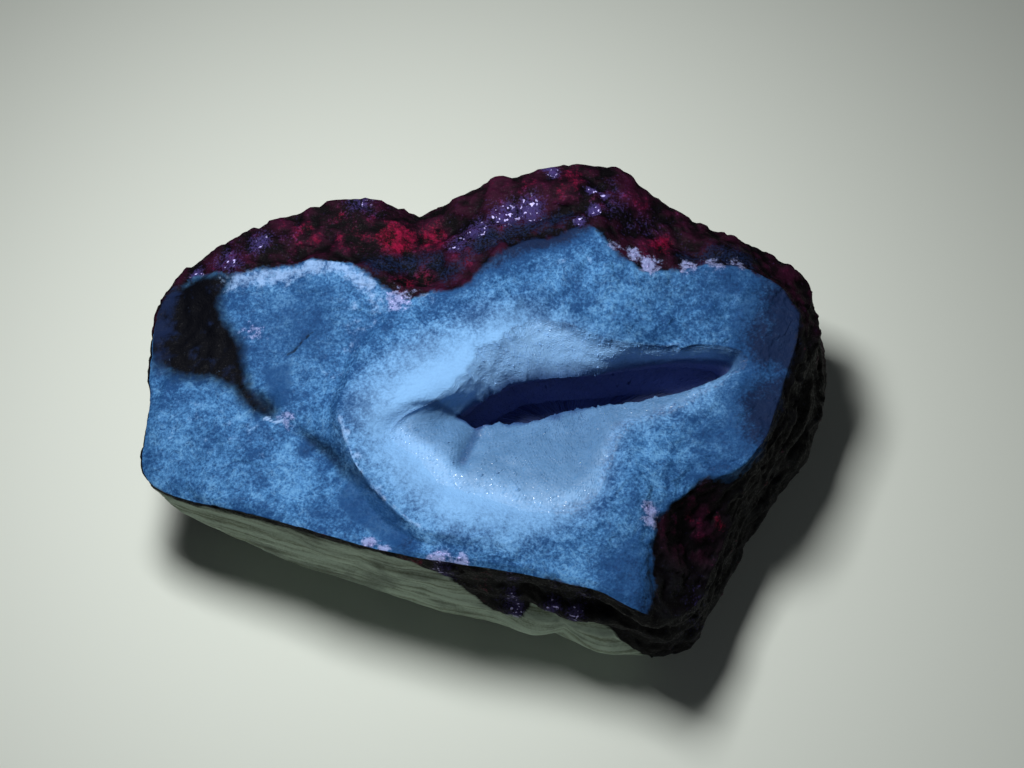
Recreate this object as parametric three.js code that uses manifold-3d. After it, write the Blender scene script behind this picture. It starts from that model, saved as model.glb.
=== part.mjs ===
// A geode half: a broken nodule of blue chalcedony in a dark red rind. It lies on its rind with the
// broken face up. A bowl in the face runs down to a long slit and a cavity under it, and a crust of
// small quartz crystals lines them. Two solids: the stone, which grew as one piece, and the crust.
// Millimetres, +Z up, +X along the stone. The origin is the bottom centre of the stone's box.
import * as THREE from "three";
import { mergeVertices } from "three/addons/utils/BufferGeometryUtils.js";
import Module from "manifold-3d";

// Driving dimensions
const CRUST_THICKNESS = 1.2;
const CRUST_GAP = 0.45; // clearance between the crust and the wall that it lines
const CRYSTAL_HEIGHT = 1.1; // the tallest crystal points
const CRYSTAL_ROOM = 0.16; // a crystal's share of that height for each millimetre from the slit's middle
const CRYSTAL_SEED = 15;
const RIND_LUMP = 15; // from one lump of the rind to the next
const RIND_RELIEF = 0.8;
const FACE_CHIP = 17; // from one ridge of the broken face to the next
const FACE_RELIEF = 0.65;
const CORNER_ROUNDING = THREE.MathUtils.degToRad(1.1); // how far a ring's corners are rounded off

// Every ring is measured about this point over the middle of the slit.
const CENTRE = { x: 12, y: 1 };
const COLUMNS = 96; // rays round the centre, a multiple of three for the six-sided crystals

// Rings as [x, y, z], anticlockwise seen from above, first those of the hollow from its lip down.
const LIP = [
  [40, 3.2, 34.7], [40, 5.2, 34.9], [37, 6.6, 35], [31.5, 5.8, 35], [25, 6.8, 35.5], [17, 7.6, 36.5],
  [11.5, 10, 37], [5.5, 11, 37], [1.5, 8.5, 37], [-3.3, 5, 36], [-6, 0.5, 35.5], [-12, -3, 35],
  [-19.5, -4.5, 34], [-17, -9, 33.5], [-13.5, -11.5, 33.5], [-9.5, -16.5, 33.5], [-3, -18.5, 33.5],
  [4, -21, 33.5], [11.5, -21.5, 33.5], [15.5, -18, 33.5], [17, -13, 33.5], [18.5, -8.5, 33.5],
  [21, -6, 33.5], [26.5, -4.5, 33.5], [31.5, -2, 34], [37, 1.4, 34.5],
];
const SLIT = [
  [38.6, 4.6, 29.5], [38.6, 6.6, 29.5], [33.5, 6.8, 28.5], [27, 7.2, 28], [21, 6.6, 28], [16.5, 5.2, 28],
  [11, 4.3, 28.5], [6.8, 3.5, 29], [2, 3.2, 29], [-0.5, 1.4, 28.5], [-4, -0.6, 28], [-8.5, -2.4, 28],
  [-5, -3.8, 27], [-1, -3.6, 26.5], [4, -3.4, 26.5], [9, -2.2, 27], [14, -1.3, 27], [19, -0.4, 27],
  [25, 0.5, 27], [31, 1.8, 27], [36, 3.6, 28],
];
const CAVITY = [
  [37.5, 4, 23], [37.5, 7.5, 23], [34, 9, 22.5], [28, 9.5, 21.5], [18, 9, 21], [10, 8, 21], [2, 6.5, 21.5],
  [-4, 3, 22], [-8, -1.5, 22.5], [-6, -4.5, 22], [0, -5.2, 21], [6, -5, 20.5], [12, -3.8, 20.5],
  [18, -2.6, 20.5], [26, -1, 21], [33, 1, 22],
];
const FLOOR = [
  [33, 5, 16], [28, 6.5, 15], [20, 6.5, 14.5], [11, 5.5, 14], [4, 4.5, 14], [-1, 1.5, 15],
  [-1.5, -2, 15], [5, -3, 14], [13, -2, 14], [21, -1, 14], [29, 1.5, 15],
];
const FLOOR_MIDDLE_Z = 13;

// The outer edge of the banded mass round the hollow, and the foot of its step down to the west.
const BAND_EDGE = [
  [44, 6, 35.2], [45, 11, 35.8], [41, 14, 36.5], [33, 14.5, 37.3], [24, 14, 37.8], [18, 16.5, 38.2],
  [12, 19, 38.6], [6, 19, 38.6], [0, 17.5, 38.2], [-6, 15, 37.6], [-13.5, 14.5, 36.8], [-19, 10.5, 35.9],
  [-24, 3.5, 35.2], [-26, -4.5, 34.6], [-23, -14, 34.4], [-16.5, -21.5, 34.4], [-10, -25.5, 34.5],
  [-3, -26, 34.3], [4, -27, 34.2], [12, -28, 34], [17, -26, 33.4], [18.5, -20, 33], [22, -16, 32.8],
  [27, -12, 32.8], [33, -9.5, 33], [39, -5, 33.8], [42.5, 1, 34.6],
];
const BAND_FOOT = [
  [45, 6, 35.3], [46, 11.5, 36], [41.5, 15, 36.8], [33, 15.7, 37.6], [24, 15.2, 38], [18.3, 17.7, 38.4],
  [12.5, 20.5, 38.9], [6, 20.5, 38.9], [-0.5, 18.7, 38.4], [-7, 16, 37.4], [-15, 15.6, 36.1],
  [-20.8, 11.2, 34.5], [-25.8, 3.8, 33.3], [-27.9, -4.8, 32.5], [-24.6, -14.8, 31.6],
  [-18, -22.8, 31.7], [-10.8, -27, 33.5], [-3, -27.2, 34.2], [4, -28.2, 34.2], [12.2, -29.3, 34],
  [18.3, -27, 33.2], [19.7, -20.8, 32.8], [23, -17, 32.6], [28, -13, 32.7], [34, -10.4, 33],
  [40, -5.6, 33.8], [43.6, 1, 34.6],
];

// The dark groove that parts the two facets of the western mass. Elsewhere the ring is plain.
const GROOVE = [
  [46.5, 7, 35.6], [47.3, 12.2, 36.2], [43.5, 16, 37.1], [36, 17.3, 37.9], [24.3, 16.7, 38.3],
  [18.6, 19.2, 38.7], [13, 23, 39.4], [6, 22.3, 39.2], [-1, 20.3, 38.6], [-8, 16.7, 36.9],
  [-22, 17, 35.6], [-40, 20.5, 34.6], [-45.5, 17, 32.2], [-44.5, 8, 31.2], [-40.5, 0, 30.5],
  [-36, -4.6, 30], [-31.9, -7.8, 29.9], [-28.5, -11, 30.2], [-26.5, -16, 30.8], [-19.5, -23.5, 31.6],
  [-11.5, -27.6, 33.6], [-3, -28.6, 34.2], [4, -29.3, 34.2], [12.6, -30.6, 34], [20, -28, 33],
  [21, -21.6, 32.5], [24.2, -18.4, 32.3], [29, -14.8, 32.5], [35.4, -12, 32.9], [41, -6.5, 33.7],
  [44.7, 1, 34.8],
];
const FACE_EDGE = [
  [48.5, 8, 36], [49, 13, 36.5], [45.5, 17, 37.5], [39.5, 19.5, 38], [33, 19.5, 38.5], [24, 18.5, 39],
  [19, 21, 39], [17, 24.5, 39.6], [14, 26, 40], [5.5, 24.5, 39.6], [0, 22.5, 39], [-6, 17.5, 37.2],
  [-13, 17.5, 35.6], [-24, 20.7, 36], [-36, 22.5, 35.8], [-46.5, 22, 34], [-53, 17, 30.8],
  [-54.5, 9, 30], [-55.5, 0, 30.3], [-56, -12.5, 28], [-51, -15.5, 28.8], [-36, -20, 30.5],
  [-23, -24.8, 32], [-12, -28.1, 33.9], [3, -30.3, 34.2], [14, -32.5, 33.8], [20.5, -35.5, 33],
  [22.5, -31, 32.5], [22.5, -25, 31.8], [24, -21.5, 31.8], [29.5, -17.5, 32], [34, -15.5, 32.5],
  [38.5, -13.5, 33], [42, -9.5, 33.7], [45.5, 0, 35],
];
const CREST = [
  [50, 8, 34], [52, 15, 33.5], [53.5, 21, 30], [51, 23.5, 31], [46, 25.5, 33], [37.5, 28.5, 35],
  [32.5, 31, 36], [25.5, 35.5, 37], [20.5, 39, 38.5], [12.5, 39, 39], [3.5, 37.5, 38], [-2, 37, 37],
  [-10.5, 33.5, 35], [-14.5, 32.5, 34], [-20, 34.5, 35.5], [-28, 34, 36], [-39.5, 31, 34],
  [-49, 26.5, 32], [-54, 25, 31], [-59, 18, 30], [-59, 8, 29.5], [-58, -3, 28.5], [-58.5, -14, 27],
  [-52, -17, 28], [-36, -21.5, 30], [-23, -26, 32], [-12, -28.8, 33.5], [3, -31.2, 33.6], [15, -34, 33],
  [21.5, -37.5, 32], [27, -36.5, 27], [31.5, -33, 24], [35, -25, 23], [39, -17, 24], [43, -12, 26],
  [46, -6, 30], [47, 0, 33.5],
];
const WAIST = [
  [57.5, 3, 11], [59.5, 14.5, 13], [57, 21, 16], [50, 26, 17], [38, 31, 18], [26, 36.5, 18],
  [15, 39.5, 18], [3, 38.5, 17], [-8, 36, 17], [-20, 35.5, 17], [-32, 33, 18], [-44, 29, 20],
  [-53, 23, 21], [-57, 14, 21], [-57, 3, 21], [-57, -8, 22], [-56, -15.5, 24], [-52, -17.5, 21],
  [-42, -20.5, 16], [-35.5, -23, 13], [-25.5, -25.5, 10.5], [-10, -30.5, 9], [3, -33, 8.5],
  [14, -35.5, 8.5], [24, -38.5, 8.5], [32, -36.5, 8.5], [38, -26.5, 8.5], [41.5, -19, 8.5],
  [46, -13.5, 9], [54, -4, 10],
];
const FOOT = [
  [50, 3, 2.5], [52, 13, 2.5], [48, 21, 2.5], [36, 27, 2.5], [20, 31, 2.5], [2, 32, 2.5],
  [-16, 29.5, 2.5], [-30, 25, 3], [-40, 16, 4], [-42, 4, 4], [-38, -9, 4], [-28, -17, 3],
  [-14, -23.5, 2.5], [2, -27, 2.5], [16, -30, 2.5], [28, -31, 2.5], [35, -22, 2.5], [41, -11, 2.5],
];
const BASE_SHARE = 0.86; // the flat base against the foot above it

// Swells and dents of the top as [x, y, reach, height].
const TOP_FEATURES = [
  [-11, 23, 5, -2.2], // pocket where the red rind cuts into the face
  [-14, 31, 4, -1.2], // notch in the back edge
  [-28, 28, 7, 1.5], // red lump left of the notch
  [-43, 27, 5, 0.8],
  [-3, 32, 5, 0.9],
  [15, 33, 8, 1.3], // red lump right of the notch
  [28, 27, 5, -1],
  [40, 24, 5, 0.7],
  [-33, 12, 8, 1], // swell of the facet beside the groove
  [-40, -12, 8, 0.8],
  [-52, 14, 5, -1.2], // hollow in the dark western end
  [31, -24, 5, -2.6], // broken corner that shows the rind
  [4, 15.5, 6, -0.7], // shallow dish behind the hollow
  [31, 12, 6, -0.6],
];

// The sides between crest and waist: [share of the way down, millimetres out], ledge under ledge.
const SIDE_LEDGES = [[0.14, 0.6], [0.3, -0.9], [0.4, 0.5], [0.58, -0.4], [0.68, 0.8], [0.85, 0.1]];
const LEDGED_HEIGHT = 24; // sides lower than this have shallower ledges
const UNDERCUT_CURVE = 1.7; // how the underside rounds in from the waist to the foot
const SLIT_SLOPE = 0.185; // how far the slit slants north for each millimetre east
const SAME_PLACE = 1e-4; // points closer than this are one point

const wasm = await Module();
wasm.setup();

// A repeatable random number from 0 to 1.
function makeRandom(seed) {
  let state = seed;
  return () => {
    state = (Math.imul(state, 1664525) + 1013904223) >>> 0;
    return state / 2 ** 32;
  };
}

const GOLDEN_ANGLE = Math.PI * (3 - Math.sqrt(5));
const WAVES = 9;
const roundWave = (turns) => Math.sin(2 * Math.PI * turns);
const sharpWave = (turns) => 4 * Math.abs(THREE.MathUtils.euclideanModulo(turns, 1) - 0.5) - 1;

// Natural relief from about -1 to 1: waves of about one size, laid in directions all round a dome.
function relief(p, size, wave) {
  let sum = 0;
  for (let k = 0; k < WAVES; k++) {
    const rise = (k + 0.5) / WAVES;
    const level = Math.sqrt(1 - rise * rise);
    const turn = GOLDEN_ANGLE * k;
    const along = level * (p.x * Math.cos(turn) + p.y * Math.sin(turn)) + rise * p.z;
    sum += wave((along / size) * (0.75 + 0.07 * k) + 0.37 * k * k);
  }
  return sum / Math.sqrt(WAVES);
}

// A ring as a function of the angle about the centre, straight between its points.
function makeRing(points) {
  const corners = points
    .map(([x, y, z]) => ({ place: new THREE.Vector3(x, y, z), angle: angleOf(x, y) }))
    .sort((p, q) => p.angle - q.angle);
  const first = corners[0];
  corners.push({ place: first.place, angle: first.angle + 2 * Math.PI });
  const straight = (angle) => {
    const ray = first.angle + THREE.MathUtils.euclideanModulo(angle - first.angle, 2 * Math.PI);
    const next = corners.findIndex((corner) => corner.angle > ray);
    const [p, q] = [corners[next - 1], corners[next]];
    const sine = (from, to) => Math.sin(to - from);
    const pReach = Math.hypot(p.place.x - CENTRE.x, p.place.y - CENTRE.y) * sine(p.angle, ray);
    const qReach = Math.hypot(q.place.x - CENTRE.x, q.place.y - CENTRE.y) * sine(ray, q.angle);
    return p.place.clone().lerp(q.place, pReach / (pReach + qReach));
  };
  return (angle) => {
    const sum = new THREE.Vector3();
    for (let k = -2; k <= 2; k++) sum.add(straight(angle + k * CORNER_ROUNDING));
    return sum.divideScalar(5);
  };
}

function angleOf(x, y) {
  return THREE.MathUtils.euclideanModulo(Math.atan2(y - CENTRE.y, x - CENTRE.x), 2 * Math.PI);
}

// Column angles that space the rays evenly along all the given rings together.
function spreadAngles(rings) {
  const steps = 720;
  const travelled = [0];
  for (let i = 1; i <= steps; i++) {
    const from = (2 * Math.PI * (i - 1)) / steps;
    const to = (2 * Math.PI * i) / steps;
    const moved = rings.reduce((sum, ring) => sum + ring(from).distanceTo(ring(to)), 0);
    travelled.push(travelled[i - 1] + moved);
  }
  return (column) => {
    const turns = Math.floor(column / COLUMNS);
    const wanted = (column / COLUMNS - turns) * travelled[steps];
    const i = Math.max(1, travelled.findIndex((length) => length > wanted));
    const share = (wanted - travelled[i - 1]) / (travelled[i] - travelled[i - 1]);
    return 2 * Math.PI * (turns + (i - 1 + share) / steps);
  };
}

const lip = makeRing(LIP);
const slit = makeRing(SLIT);
const bandEdge = makeRing(BAND_EDGE);
const bandFoot = makeRing(BAND_FOOT);
const groove = makeRing(GROOVE);
const faceEdge = makeRing(FACE_EDGE);
const crest = makeRing(CREST);
const waist = makeRing(WAIST);
const foot = makeRing(FOOT);
const wallRings = [lip, slit, makeRing(CAVITY), makeRing(FLOOR)];
const angleAt = spreadAngles([lip, slit, faceEdge, crest]);

// The depths of the rows that the stone's hollow and the crust's back share, from the floor up.
const WALL_DEPTHS = [3, 2.4, 1.8, 1.3, 1, 0.5];
// The depths of the crust's rows of crystals. The row along the slit's edge keeps exactly to it.
const CRYSTAL_DEPTHS = [2.8, 2.4, 2, 1.65, 1.3, 1, 0.82, 0.67, 0.53, 0.39, 0.26, 0.13, 0.02];

function makeRow(pointAt) {
  return Array.from({ length: COLUMNS }, (_, column) => pointAt(angleAt(column), column));
}

// The hollow's wall. Depth 0 is the lip, 1 the slit, 2 the widest part of the cavity, 3 the floor.
function wallPoint(angle, depth) {
  const upper = Math.min(Math.floor(depth), wallRings.length - 2);
  return wallRings[upper](angle).lerp(wallRings[upper + 1](angle), depth - upper);
}

// The direction from the hollow into the stone, square to the wall, but level at the lip.
function wallNormal(angle, depth) {
  const [turn, step] = [0.03, 0.1];
  const alongWall = wallPoint(angle + turn, depth).sub(wallPoint(angle - turn, depth));
  const downTo = (lower) => wallPoint(angle, lower).sub(wallPoint(angle, lower - step)).normalize();
  const downWall = downTo(Math.max(step, depth)).add(downTo(Math.min(3, depth + step)));
  const normal = downWall.cross(alongWall);
  if (depth === 0) normal.z = 0;
  return normal.normalize();
}

function behindWall(angle, depth, distance) {
  return wallPoint(angle, depth).addScaledVector(wallNormal(angle, depth), distance);
}

// A closed surface from rows of points, with a point at each end. From the row that is named on,
// the four-sided cells are split the other way, as on the wall that those rows lie against.
function makeClosedSurface(firstPole, rows, lastPole, mirroredFrom = Infinity) {
  const position = [firstPole, ...rows.flat(), lastPole].flatMap((p) => p.toArray());
  const at = (row, column) => 1 + row * COLUMNS + (column % COLUMNS);
  const lastRow = rows.length - 1;
  const lastPoint = 1 + rows.length * COLUMNS;
  const index = [];
  for (let column = 0; column < COLUMNS; column++) {
    index.push(0, at(0, column), at(0, column + 1));
    for (let row = 0; row < lastRow; row++) {
      const [a, b] = [at(row, column), at(row + 1, column)];
      const [c, d] = [at(row + 1, column + 1), at(row, column + 1)];
      if (row < mirroredFrom) index.push(a, b, c, a, c, d);
      else index.push(a, b, d, b, c, d);
    }
    index.push(at(lastRow, column), lastPoint, at(lastRow, column + 1));
  }
  const geometry = new THREE.BufferGeometry();
  geometry.setAttribute("position", new THREE.Float32BufferAttribute(position, 3));
  geometry.setIndex(index);
  return geometry;
}

// Height added to the top: round swells and dents, and the flat chips of a broken face.
function topRelief(p) {
  let height = FACE_RELIEF * relief(p, FACE_CHIP, sharpWave);
  for (const [x, y, reach, rise] of TOP_FEATURES) {
    height += rise * Math.exp(-((p.x - x) ** 2 + (p.y - y) ** 2) / reach ** 2);
  }
  return height;
}

// The lumps of the weathered rind, bulging between creases.
function rindRelief(p) {
  return RIND_RELIEF * (1.6 * Math.abs(relief(p, RIND_LUMP, roundWave)) - 1);
}

function between(inner, outer, share, curve = 1) {
  return (angle) => {
    const [p, q] = [inner(angle), outer(angle)];
    const level = share ** curve;
    return new THREE.Vector3(
      THREE.MathUtils.lerp(p.x, q.x, level),
      THREE.MathUtils.lerp(p.y, q.y, level),
      THREE.MathUtils.lerp(p.z, q.z, share),
    );
  };
}

// The top from the hollow's rim out to the crest. The relief fades in from the rim.
function makeTopRows() {
  const rim = (angle) => behindWall(angle, 0, CRUST_THICKNESS + CRUST_GAP);
  const stations = [[rim, 3], [bandEdge, 1], [bandFoot, 3], [groove, 3], [faceEdge, 3], [crest, 1]];
  const rows = [];
  stations.forEach(([ring, steps], index) => {
    const next = index + 1 < stations.length ? stations[index + 1][0] : ring;
    for (let step = 0; step < steps; step++) {
      const pointAt = between(ring, next, step / steps);
      const fade = index === 0 ? step / steps : 1;
      rows.push(
        makeRow((angle) => {
          const p = pointAt(angle);
          const lumps = index === 4 && step > 0 ? rindRelief(p) : 0;
          return p.setZ(p.z + fade * topRelief(p) + lumps);
        }),
      );
    }
  });
  return rows;
}

// The sides from the crest down to the flat base, with ledges and the rind's lumps.
function makeSideRows() {
  const outwards = (angle) => new THREE.Vector3(Math.cos(angle), Math.sin(angle), 0);
  const lumpy = (pointAt, out, share) => (angle) => {
    const p = pointAt(angle);
    const height = Math.min(1, (crest(angle).z - waist(angle).z) / LEDGED_HEIGHT);
    return p.addScaledVector(outwards(angle), height * height * (out + share * rindRelief(p)));
  };
  const topEdge = (angle) => {
    const p = crest(angle);
    return p.setZ(p.z + topRelief(p));
  };
  const base = (angle) => {
    const p = foot(angle);
    return new THREE.Vector3(p.x * BASE_SHARE, p.y * BASE_SHARE, 0);
  };
  return [
    ...SIDE_LEDGES.map(([share, out]) => makeRow(lumpy(between(topEdge, waist, share), out, 1))),
    makeRow(lumpy(waist, 0, 1)),
    makeRow(lumpy(between(waist, foot, 0.4, UNDERCUT_CURVE), 0, 1)),
    makeRow(lumpy(between(waist, foot, 0.75, UNDERCUT_CURVE), 0, 0.7)),
    makeRow(lumpy(foot, 0, 0.5)),
    makeRow(base),
  ];
}

function makeStone() {
  const clearance = CRUST_THICKNESS + CRUST_GAP;
  const hollowRows = WALL_DEPTHS.map((depth) => makeRow((angle) => behindWall(angle, depth, clearance)));
  const floor = new THREE.Vector3(CENTRE.x, CENTRE.y, FLOOR_MIDDLE_Z - clearance);
  const underside = new THREE.Vector3(0, 0, 0);
  return makeClosedSurface(floor, [...hollowRows, ...makeTopRows(), ...makeSideRows()], underside);
}

// How far a crystal point may stand off its place in the grid, in columns and in depth.
const COLUMN_SCATTER = 0.4;
const DEPTH_SCATTER = 0.04;

// The druse: every third point of a slanting grid is a crystal's tip, with six flat faces round it.
function makeCrystalRows() {
  const random = makeRandom(CRYSTAL_SEED);
  return CRYSTAL_DEPTHS.map((rowDepth, row) => {
    const fromRim = CRYSTAL_DEPTHS.length - row;
    const jitter = rowDepth > 0.1 && rowDepth !== 1 ? DEPTH_SCATTER : 0;
    return Array.from({ length: COLUMNS }, (_, column) => {
      const angle = angleAt(column + fromRim / 2 + COLUMN_SCATTER * (random() - 0.5));
      const depth = rowDepth + jitter * (random() - 0.5);
      const p = wallPoint(angle, depth);
      const isTip = (row + column) % 3 === 0;
      const room = Math.min(1, CRYSTAL_ROOM * Math.abs(p.y - slitAxisY(p.x)));
      const height = isTip ? CRYSTAL_HEIGHT * (0.6 + 0.4 * random()) * room : 0;
      return p.addScaledVector(wallNormal(angle, depth), -height);
    });
  });
}

// The middle line of the slit, which slants a little along the stone.
function slitAxisY(x) {
  return CENTRE.y + SLIT_SLOPE * (x - CENTRE.x);
}

function makeCrust() {
  const rim = makeRow((angle) => behindWall(angle, 0, CRUST_THICKNESS));
  const backRows = WALL_DEPTHS.toReversed().map((depth) =>
    makeRow((angle) => behindWall(angle, depth, CRUST_THICKNESS)),
  );
  const floorFront = new THREE.Vector3(CENTRE.x, CENTRE.y, FLOOR_MIDDLE_Z);
  const floorBack = new THREE.Vector3(CENTRE.x, CENTRE.y, FLOOR_MIDDLE_Z - CRUST_THICKNESS);
  const crystalRows = makeCrystalRows();
  const rows = [...crystalRows, rim, ...backRows];
  return makeClosedSurface(floorFront, rows, floorBack, crystalRows.length);
}

function toSolid(geometry) {
  const merged = mergeVertices(geometry, SAME_PLACE);
  return new wasm.Manifold(
    new wasm.Mesh({
      numProp: 3,
      vertProperties: new Float32Array(merged.attributes.position.array),
      triVerts: new Uint32Array(merged.index.array),
    }),
  );
}

function toGeometry(solid) {
  const mesh = solid.getMesh();
  const geometry = new THREE.BufferGeometry();
  geometry.setAttribute("position", new THREE.Float32BufferAttribute(mesh.vertProperties, 3));
  geometry.setIndex(new THREE.BufferAttribute(mesh.triVerts, 1));
  return geometry;
}

const stoneGeometry = toGeometry(toSolid(makeStone()));
const crustGeometry = toGeometry(toSolid(makeCrust()));

// Both solids move together so that the stone's box stands centred on the origin.
stoneGeometry.computeBoundingBox();
const middle = stoneGeometry.boundingBox.getCenter(new THREE.Vector3());
for (const geometry of [stoneGeometry, crustGeometry]) {
  geometry.translate(-middle.x, -middle.y, 0);
  geometry.computeVertexNormals();
}

const chalcedony = new THREE.MeshStandardMaterial({ color: 0x5f86b4, roughness: 0.55, metalness: 0 });
const stone = new THREE.Mesh(stoneGeometry, chalcedony);
stone.name = "stone";

const quartz = new THREE.MeshStandardMaterial({
  color: 0xa9c6e6,
  roughness: 0.25,
  metalness: 0,
  flatShading: true,
});
const crystalCrust = new THREE.Mesh(crustGeometry, quartz);
crystalCrust.name = "crystal_crust";

const geodeHalf = new THREE.Group();
geodeHalf.name = "geode_half";
geodeHalf.add(stone, crystalCrust);

export default geodeHalf;
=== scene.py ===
"""The looks of a geode half: blue chalcedony in a dark red rind, with a druse of quartz in its hollow.

Both pieces are surfaces laid on rings about one point over the slit. A ring is a closed line, given by
a few points and read as a function of the angle of a ray. Lengths are millimetres until a mesh is made.
"""

import bpy
import numpy as np
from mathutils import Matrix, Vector


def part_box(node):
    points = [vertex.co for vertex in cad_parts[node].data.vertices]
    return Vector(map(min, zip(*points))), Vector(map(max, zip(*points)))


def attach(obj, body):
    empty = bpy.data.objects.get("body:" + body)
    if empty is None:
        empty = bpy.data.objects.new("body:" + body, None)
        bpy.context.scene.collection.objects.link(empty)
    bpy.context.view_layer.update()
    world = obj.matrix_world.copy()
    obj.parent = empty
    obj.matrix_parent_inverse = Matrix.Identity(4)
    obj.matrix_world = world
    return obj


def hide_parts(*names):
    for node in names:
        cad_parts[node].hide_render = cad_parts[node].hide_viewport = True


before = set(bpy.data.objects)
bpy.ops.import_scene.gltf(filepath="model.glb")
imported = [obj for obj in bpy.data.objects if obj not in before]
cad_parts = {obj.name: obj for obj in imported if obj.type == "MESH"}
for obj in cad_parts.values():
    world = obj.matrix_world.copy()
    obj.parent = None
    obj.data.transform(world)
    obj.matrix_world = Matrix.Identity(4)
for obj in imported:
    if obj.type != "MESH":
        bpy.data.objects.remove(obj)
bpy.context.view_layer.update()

bl_info = {
    "name": "Geode half",
    "version": (1, 0, 0),
    "blender": (4, 5, 0),
    "location": "View3D > Sidebar > Geode",
    "description": "Builds a geode half with a crust of quartz crystals in its hollow",
    "category": "Object",
}

MM = 0.001
TURN = 2 * np.pi
GOLDEN_ANGLE = np.pi * (3 - np.sqrt(5))
CENTRE = np.array([12.0, 1.0])  # the rings' centre, over the middle of the slit
CORNER_ROUNDING = np.radians(1.1)  # how far a ring's corners are rounded off
SPREAD_STEPS = 2880  # steps round the rings that the columns are spread by
RING_STEPS = 1800  # places on a ring that its teeth are worked out for
SEARCH_STEPS = 40  # how many of them to either side are searched for the nearest
TOOTH_BLUR = 3  # how many of them to either side a tooth is averaged over
WAVES = 9  # waves that a relief is made of

# Rings as (x, y, z), first those of the hollow from its lip down.
LIP = [
    (40, 3.2, 34.7), (40, 5.2, 34.9), (37, 6.6, 35), (31.5, 5.8, 35), (25, 6.8, 35.5), (17, 7.6, 36.5),
    (11.5, 10, 37), (5.5, 11, 37), (1.5, 8.5, 37), (-3.3, 5, 36), (-6, 0.5, 35.5), (-10.5, -2.6, 35),
    (-14.5, -4.6, 34.2), (-17.8, -6.8, 33.8), (-17.2, -9.3, 33.5), (-13.5, -11.5, 33.5),
    (-9.5, -16.5, 33.5), (-3, -18.5, 33.5), (4, -21, 33.5), (11.5, -21.5, 33.5), (15.5, -18, 33.5),
    (17, -13, 33.5), (18.5, -8.5, 33.5), (21, -6, 33.5), (26.5, -4.5, 33.5), (31.5, -2, 34), (37, 1.4, 34.5),
]
SLIT = [
    (38.6, 4.6, 29.5), (38.6, 6.6, 29.5), (33.5, 6.8, 28.5), (27, 7.2, 28), (21, 6.6, 28), (16.5, 5.2, 28),
    (11, 4.3, 28.5), (6.8, 3.5, 29), (2, 3.2, 29), (-0.5, 1.4, 28.5), (-4, -0.6, 28), (-8.5, -2.4, 28),
    (-5, -3.8, 27), (-1, -3.6, 26.5), (4, -3.4, 26.5), (9, -2.2, 27), (14, -1.3, 27), (19, -0.4, 27),
    (25, 0.5, 27), (31, 1.8, 27), (36, 3.6, 28),
]
CAVITY = [
    (37.5, 4, 23), (37.5, 7.5, 23), (34, 9, 22.5), (28, 9.5, 21.5), (18, 9, 21), (10, 8, 21), (2, 6.5, 21.5),
    (-4, 3, 22), (-8, -1.5, 22.5), (-6, -4.5, 22), (0, -5.2, 21), (6, -5, 20.5), (12, -3.8, 20.5),
    (18, -2.6, 20.5), (26, -1, 21), (33, 1, 22),
]
FLOOR = [
    (33, 5, 16), (28, 6.5, 15), (20, 6.5, 14.5), (11, 5.5, 14), (4, 4.5, 14), (-1, 1.5, 15),
    (-1.5, -2, 15), (5, -3, 14), (13, -2, 14), (21, -1, 14), (29, 1.5, 15),
]
FLOOR_MIDDLE_Z = 13

# The outer edge of the banded mass round the hollow, and the foot of its step down to the west.
BAND_EDGE = [
    (44, 6, 35.2), (45, 11, 35.8), (41, 14, 36.5), (33, 14.5, 37.3), (24, 14, 37.8), (18, 16.5, 38.2),
    (12, 19, 38.6), (6, 19, 38.6), (0, 17.5, 38.2), (-6, 15, 37.6), (-13.5, 14.5, 36.8), (-19, 10.5, 35.9),
    (-24, 3.5, 35.2), (-26, -4.5, 34.6), (-23, -14, 34.4), (-16.5, -21.5, 34.4), (-10, -25.5, 34.5),
    (-3, -26, 34.3), (4, -27, 34.2), (12, -28, 34), (17, -26, 33.4), (18.5, -20, 33), (22, -16, 32.8),
    (27, -12, 32.8), (33, -9.5, 33), (39, -5, 33.8), (42.5, 1, 34.6),
]
BAND_FOOT = [
    (45, 6, 35.3), (46, 11.5, 36), (41.5, 15, 36.8), (33, 15.7, 37.6), (24, 15.2, 38), (18.3, 17.7, 38.4),
    (12.5, 20.5, 38.9), (6, 20.5, 38.9), (-0.5, 18.7, 38.4), (-7, 16, 37.4), (-15, 15.6, 36.1),
    (-20.8, 11.2, 34.5), (-25.8, 3.8, 33.3), (-27.9, -4.8, 32.5), (-24.6, -14.8, 31.6),
    (-18, -22.8, 31.7), (-10.8, -27, 33.5), (-3, -27.2, 34.2), (4, -28.2, 34.2), (12.2, -29.3, 34),
    (18.3, -27, 33.2), (19.7, -20.8, 32.8), (23, -17, 32.6), (28, -13, 32.7), (34, -10.4, 33),
    (40, -5.6, 33.8), (43.6, 1, 34.6),
]
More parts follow.
